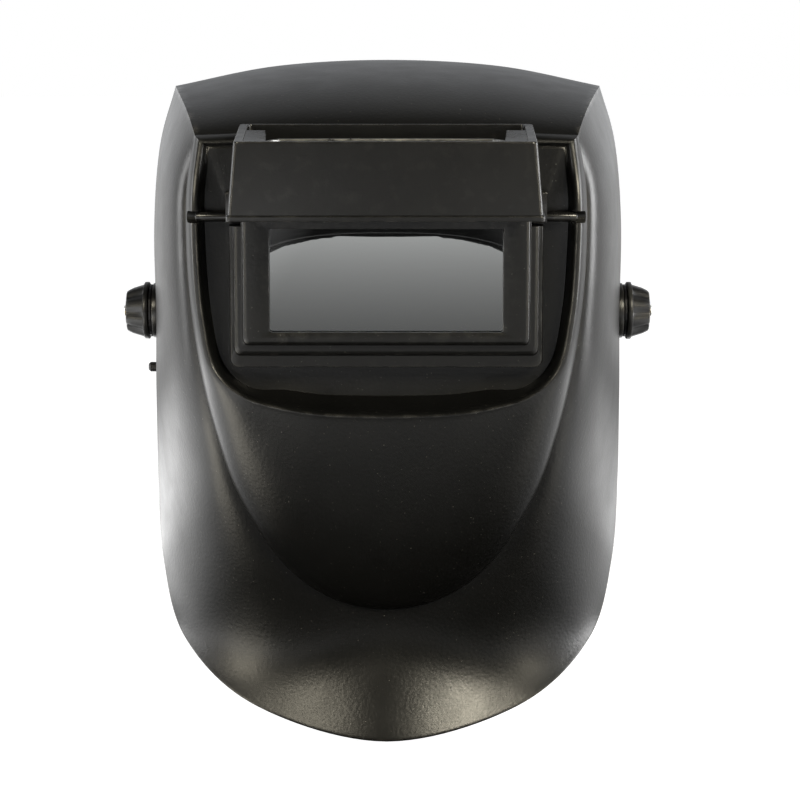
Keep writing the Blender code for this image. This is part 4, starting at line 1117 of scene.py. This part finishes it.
def make_camera():
    data = bpy.data.cameras.new("camera")
    data.sensor_width = 36.0
    data.lens = CAMERA_LENS
    camera = bpy.data.objects.new("camera", data)
    bpy.context.scene.collection.objects.link(camera)
    camera.location = CAMERA_TARGET + CAMERA_DISTANCE * Vector(
        (0, -math.cos(CAMERA_RISE), math.sin(CAMERA_RISE)))
    camera.rotation_euler = (math.pi / 2 - CAMERA_RISE, 0, 0)
    bpy.context.scene.camera = camera


def by_ray(tree, kinds, base, target):
    """Show each kind of ray, named as the Light Path node does, its own shader."""
    rays = tree.nodes.new("ShaderNodeLightPath")
    for kind, shader in kinds:
        mixed = feed(tree, tree.nodes.new("ShaderNodeMixShader"),
                     {"Fac": rays.outputs[kind], 1: base, 2: shader})
        base = mixed.outputs["Shader"]
    tree.links.new(base, target)


def white_world():
    """White where the camera looks; a room for the object, brighter behind than in front."""
    world = bpy.data.worlds.new("studio")
    bpy.context.scene.world = world
    world.use_nodes = True
    tree = world.node_tree
    direction = tree.nodes.new("ShaderNodeTexCoord")
    parts = feed(tree, tree.nodes.new("ShaderNodeSeparateXYZ"),
                 {"Vector": direction.outputs["Generated"]})
    glow = feed(tree, tree.nodes.new("ShaderNodeMapRange"), {
        "From Min": 0.0, "From Max": 0.95, "To Min": ROOM_FRONT, "To Max": ROOM_BACK,
        "Value": parts.outputs["Y"]})
    room = feed(tree, tree.nodes["Background"], {"Color": (0.95, 0.97, 1.0),
                                                 "Strength": glow.outputs["Result"]})
    bright = feed(tree, tree.nodes.new("ShaderNodeBackground"), {"Color": WHITE})
    by_ray(tree, [("Is Camera Ray", bright.outputs["Background"])],
           room.outputs["Background"], tree.nodes["World Output"].inputs["Surface"])


def pale_floor():
    """A pale floor lit up to the white of the background, and grey through the lens with a
    painted shadow, darker near the helmet.
    """
    low = cad_box[0].z - FLOOR_DROP
    bm = bmesh.new()
    bm.faces.new([bm.verts.new((x * FLOOR_HALF, y * FLOOR_HALF, low))
                  for x, y in ((-1, -1), (1, -1), (1, 1), (-1, 1))])
    ground = new_object("pale_floor", bm)
    made = Finish("pale floor", (0.24, 0.24, 0.238), 0.8)
    made.colour(made.mix(made.span(made.noise(5.0, 4.0), *MIDDLE_RANGE),
                         (0.235, 0.235, 0.232), (0.25, 0.25, 0.248)))

    def emission(strength):
        return made.add("ShaderNodeEmission", {"Strength": strength}).outputs["Emission"]

    lit = made.add("ShaderNodeAddShader", {0: made.shader.outputs["BSDF"],
                                           1: emission(FLOOR_GLOW)})
    parts = made.add("ShaderNodeSeparateXYZ", {"Vector": made.place})
    across, along = parts.outputs["X"], parts.outputs["Y"]
    beside = made.maths("MAXIMUM", made.maths("ABSOLUTE", across, 0.0),
                        made.maths("ADD", along, 0.10))
    sides = made.maths("MULTIPLY", made.span(beside, 0.16, 0.40),
                       made.span(across, -0.1, 0.1, TABLE_LEFT, TABLE_RIGHT))
    sides = made.maths("MULTIPLY", sides, made.span(beside, 0.42, 1.0, 1.0, TABLE_FAR))
    ahead = made.maths("MULTIPLY", made.span(along, -0.20, -0.50, 0.0, TABLE_AHEAD),
                       made.span(along, -1.1, -1.9, 1.0, TABLE_FAR))
    # Through the lens the floor shows a painted shadow, darker near the helmet and lighter far
    # behind it.
    by_ray(made.tree, [("Is Transmission Ray", emission(made.span(along, 1.5, 3.2, *LENS_VIEW_SHADOW))),
                       ("Is Camera Ray", lit.outputs["Shader"])],
           emission(made.maths("MAXIMUM", sides, ahead)),
           made.tree.nodes["Material Output"].inputs["Surface"])
    ground.data.materials.append(made.material)


def soft_box(name, azimuth, elevation, distance, size, radiance, colour=WHITE):
    """An area light of a radiance, in a direction from the object, facing it."""
    turn, rise = math.radians(azimuth), math.radians(elevation)
    place = MIDDLE + distance * Vector((math.sin(turn) * math.cos(rise),
                                        -math.cos(turn) * math.cos(rise), math.sin(rise)))
    data = bpy.data.lights.new(name, "AREA")
    data.shape = "RECTANGLE"
    data.size, data.size_y = size
    data.energy = radiance * math.pi * size[0] * size[1]
    data.color = colour
    light = bpy.data.objects.new(name, data)
    bpy.context.scene.collection.objects.link(light)
    light.location = place
    light.rotation_euler = (MIDDLE - place).to_track_quat("-Z", "Y").to_euler()
    light.visible_camera = False


def studio():
    """White surroundings, large boxes beside and behind, and small warm ones in front."""
    white_world()
    pale_floor()
    for side in (-1, 1):
        for name, azimuth, elevation, distance, size, radiances, colour in SIDE_BOXES:
            soft_box(name, azimuth * side, elevation, distance, size, radiances[side > 0],
                     colour)
    soft_box("top_box", 180, 62, 1.3, (1.2, 0.5), 0.15)


# ---- assembly ----
def both(name):
    return [name + "_left", name + "_right"]


def build():
    plain = plain_finishes()
    shell_plastic = moulded_plastic("grained black shell", (0.0040, 0.0040, 0.0037),
                                    (0.0070, 0.0070, 0.0066), 0.34, 700.0, 0.045, glint_flecks=0.3)
    holder_plastic = moulded_plastic("smooth black holder", (0.0040, 0.0040, 0.0038),
                                     (0.0065, 0.0065, 0.0062), 0.32, 1500.0, 0.015)
    knob_plastic = moulded_plastic("black knob plastic", (0.006, 0.006, 0.006),
                                   (0.010, 0.010, 0.010), 0.38, 1300.0, 0.03)
    nylon = moulded_plastic("headgear nylon", (0.010, 0.010, 0.011), (0.017, 0.017, 0.018),
                            0.45, 1800.0, 0.03)
    cloth = brushed_cloth("dark padding cloth", (0.016, 0.016, 0.018), (0.042, 0.042, 0.046))

    helmet_shell(shell_plastic)
    flip_holder(holder_plastic)
    for side, label in ((1, "right"), (-1, "left")):
        tension_knob(side, label, knob_plastic)
        pivot_stud(side, label, plain["steel"])
        crown_strap(side, label, 1.3 if side > 0 else 3.0, nylon)
    headband(nylon)
    ratchet_knob(knob_plastic)
    sweatband(cloth, plain["thread"])
    nape_pad(cloth)

    rivets = [rivet + end for rivet in both("bracket_rivet") for end in ("_1", "_2")]
    for nodes, finish, bevel in (
            (["lens_retainer"], holder_plastic, 0.25),
            (["tilt_stop_arm", "ratchet_housing", "ratchet_cover", "crown_strap_pin"], nylon,
             0.35),
            (["ratchet_pinion"] + both("rack"), nylon, 0.12),
            (both("crown_rivet") + both("pivot_bracket"), nylon, 0.3),
            (["lens_gasket", "flip_gasket"], plain["rubber"], 0.15),
            (["clear_cover_lens", "flip_cover_lens"], plain["clear glass"], 0.2),
            (["shade_lens"], plain["dark glass"], 0.25),
            (both("lens_spring") + ["flip_lens_spring", "ratchet_screw"], plain["steel"], 0.1),
            (both("outer_washer"), blackened_steel(), 0.15),
            (rivets, plain["steel"], 0.2),
            (both("knob_insert"), plain["brass"], 0.2),
            (both("friction_washer"), plain["fibre"], 0.15)):
        for node in nodes:
            dress(node, finish, bevel)


build()
studio()
make_camera()
view_settings = bpy.context.scene.view_settings
view_settings.view_transform = "Standard"
view_settings.gamma = 0.88
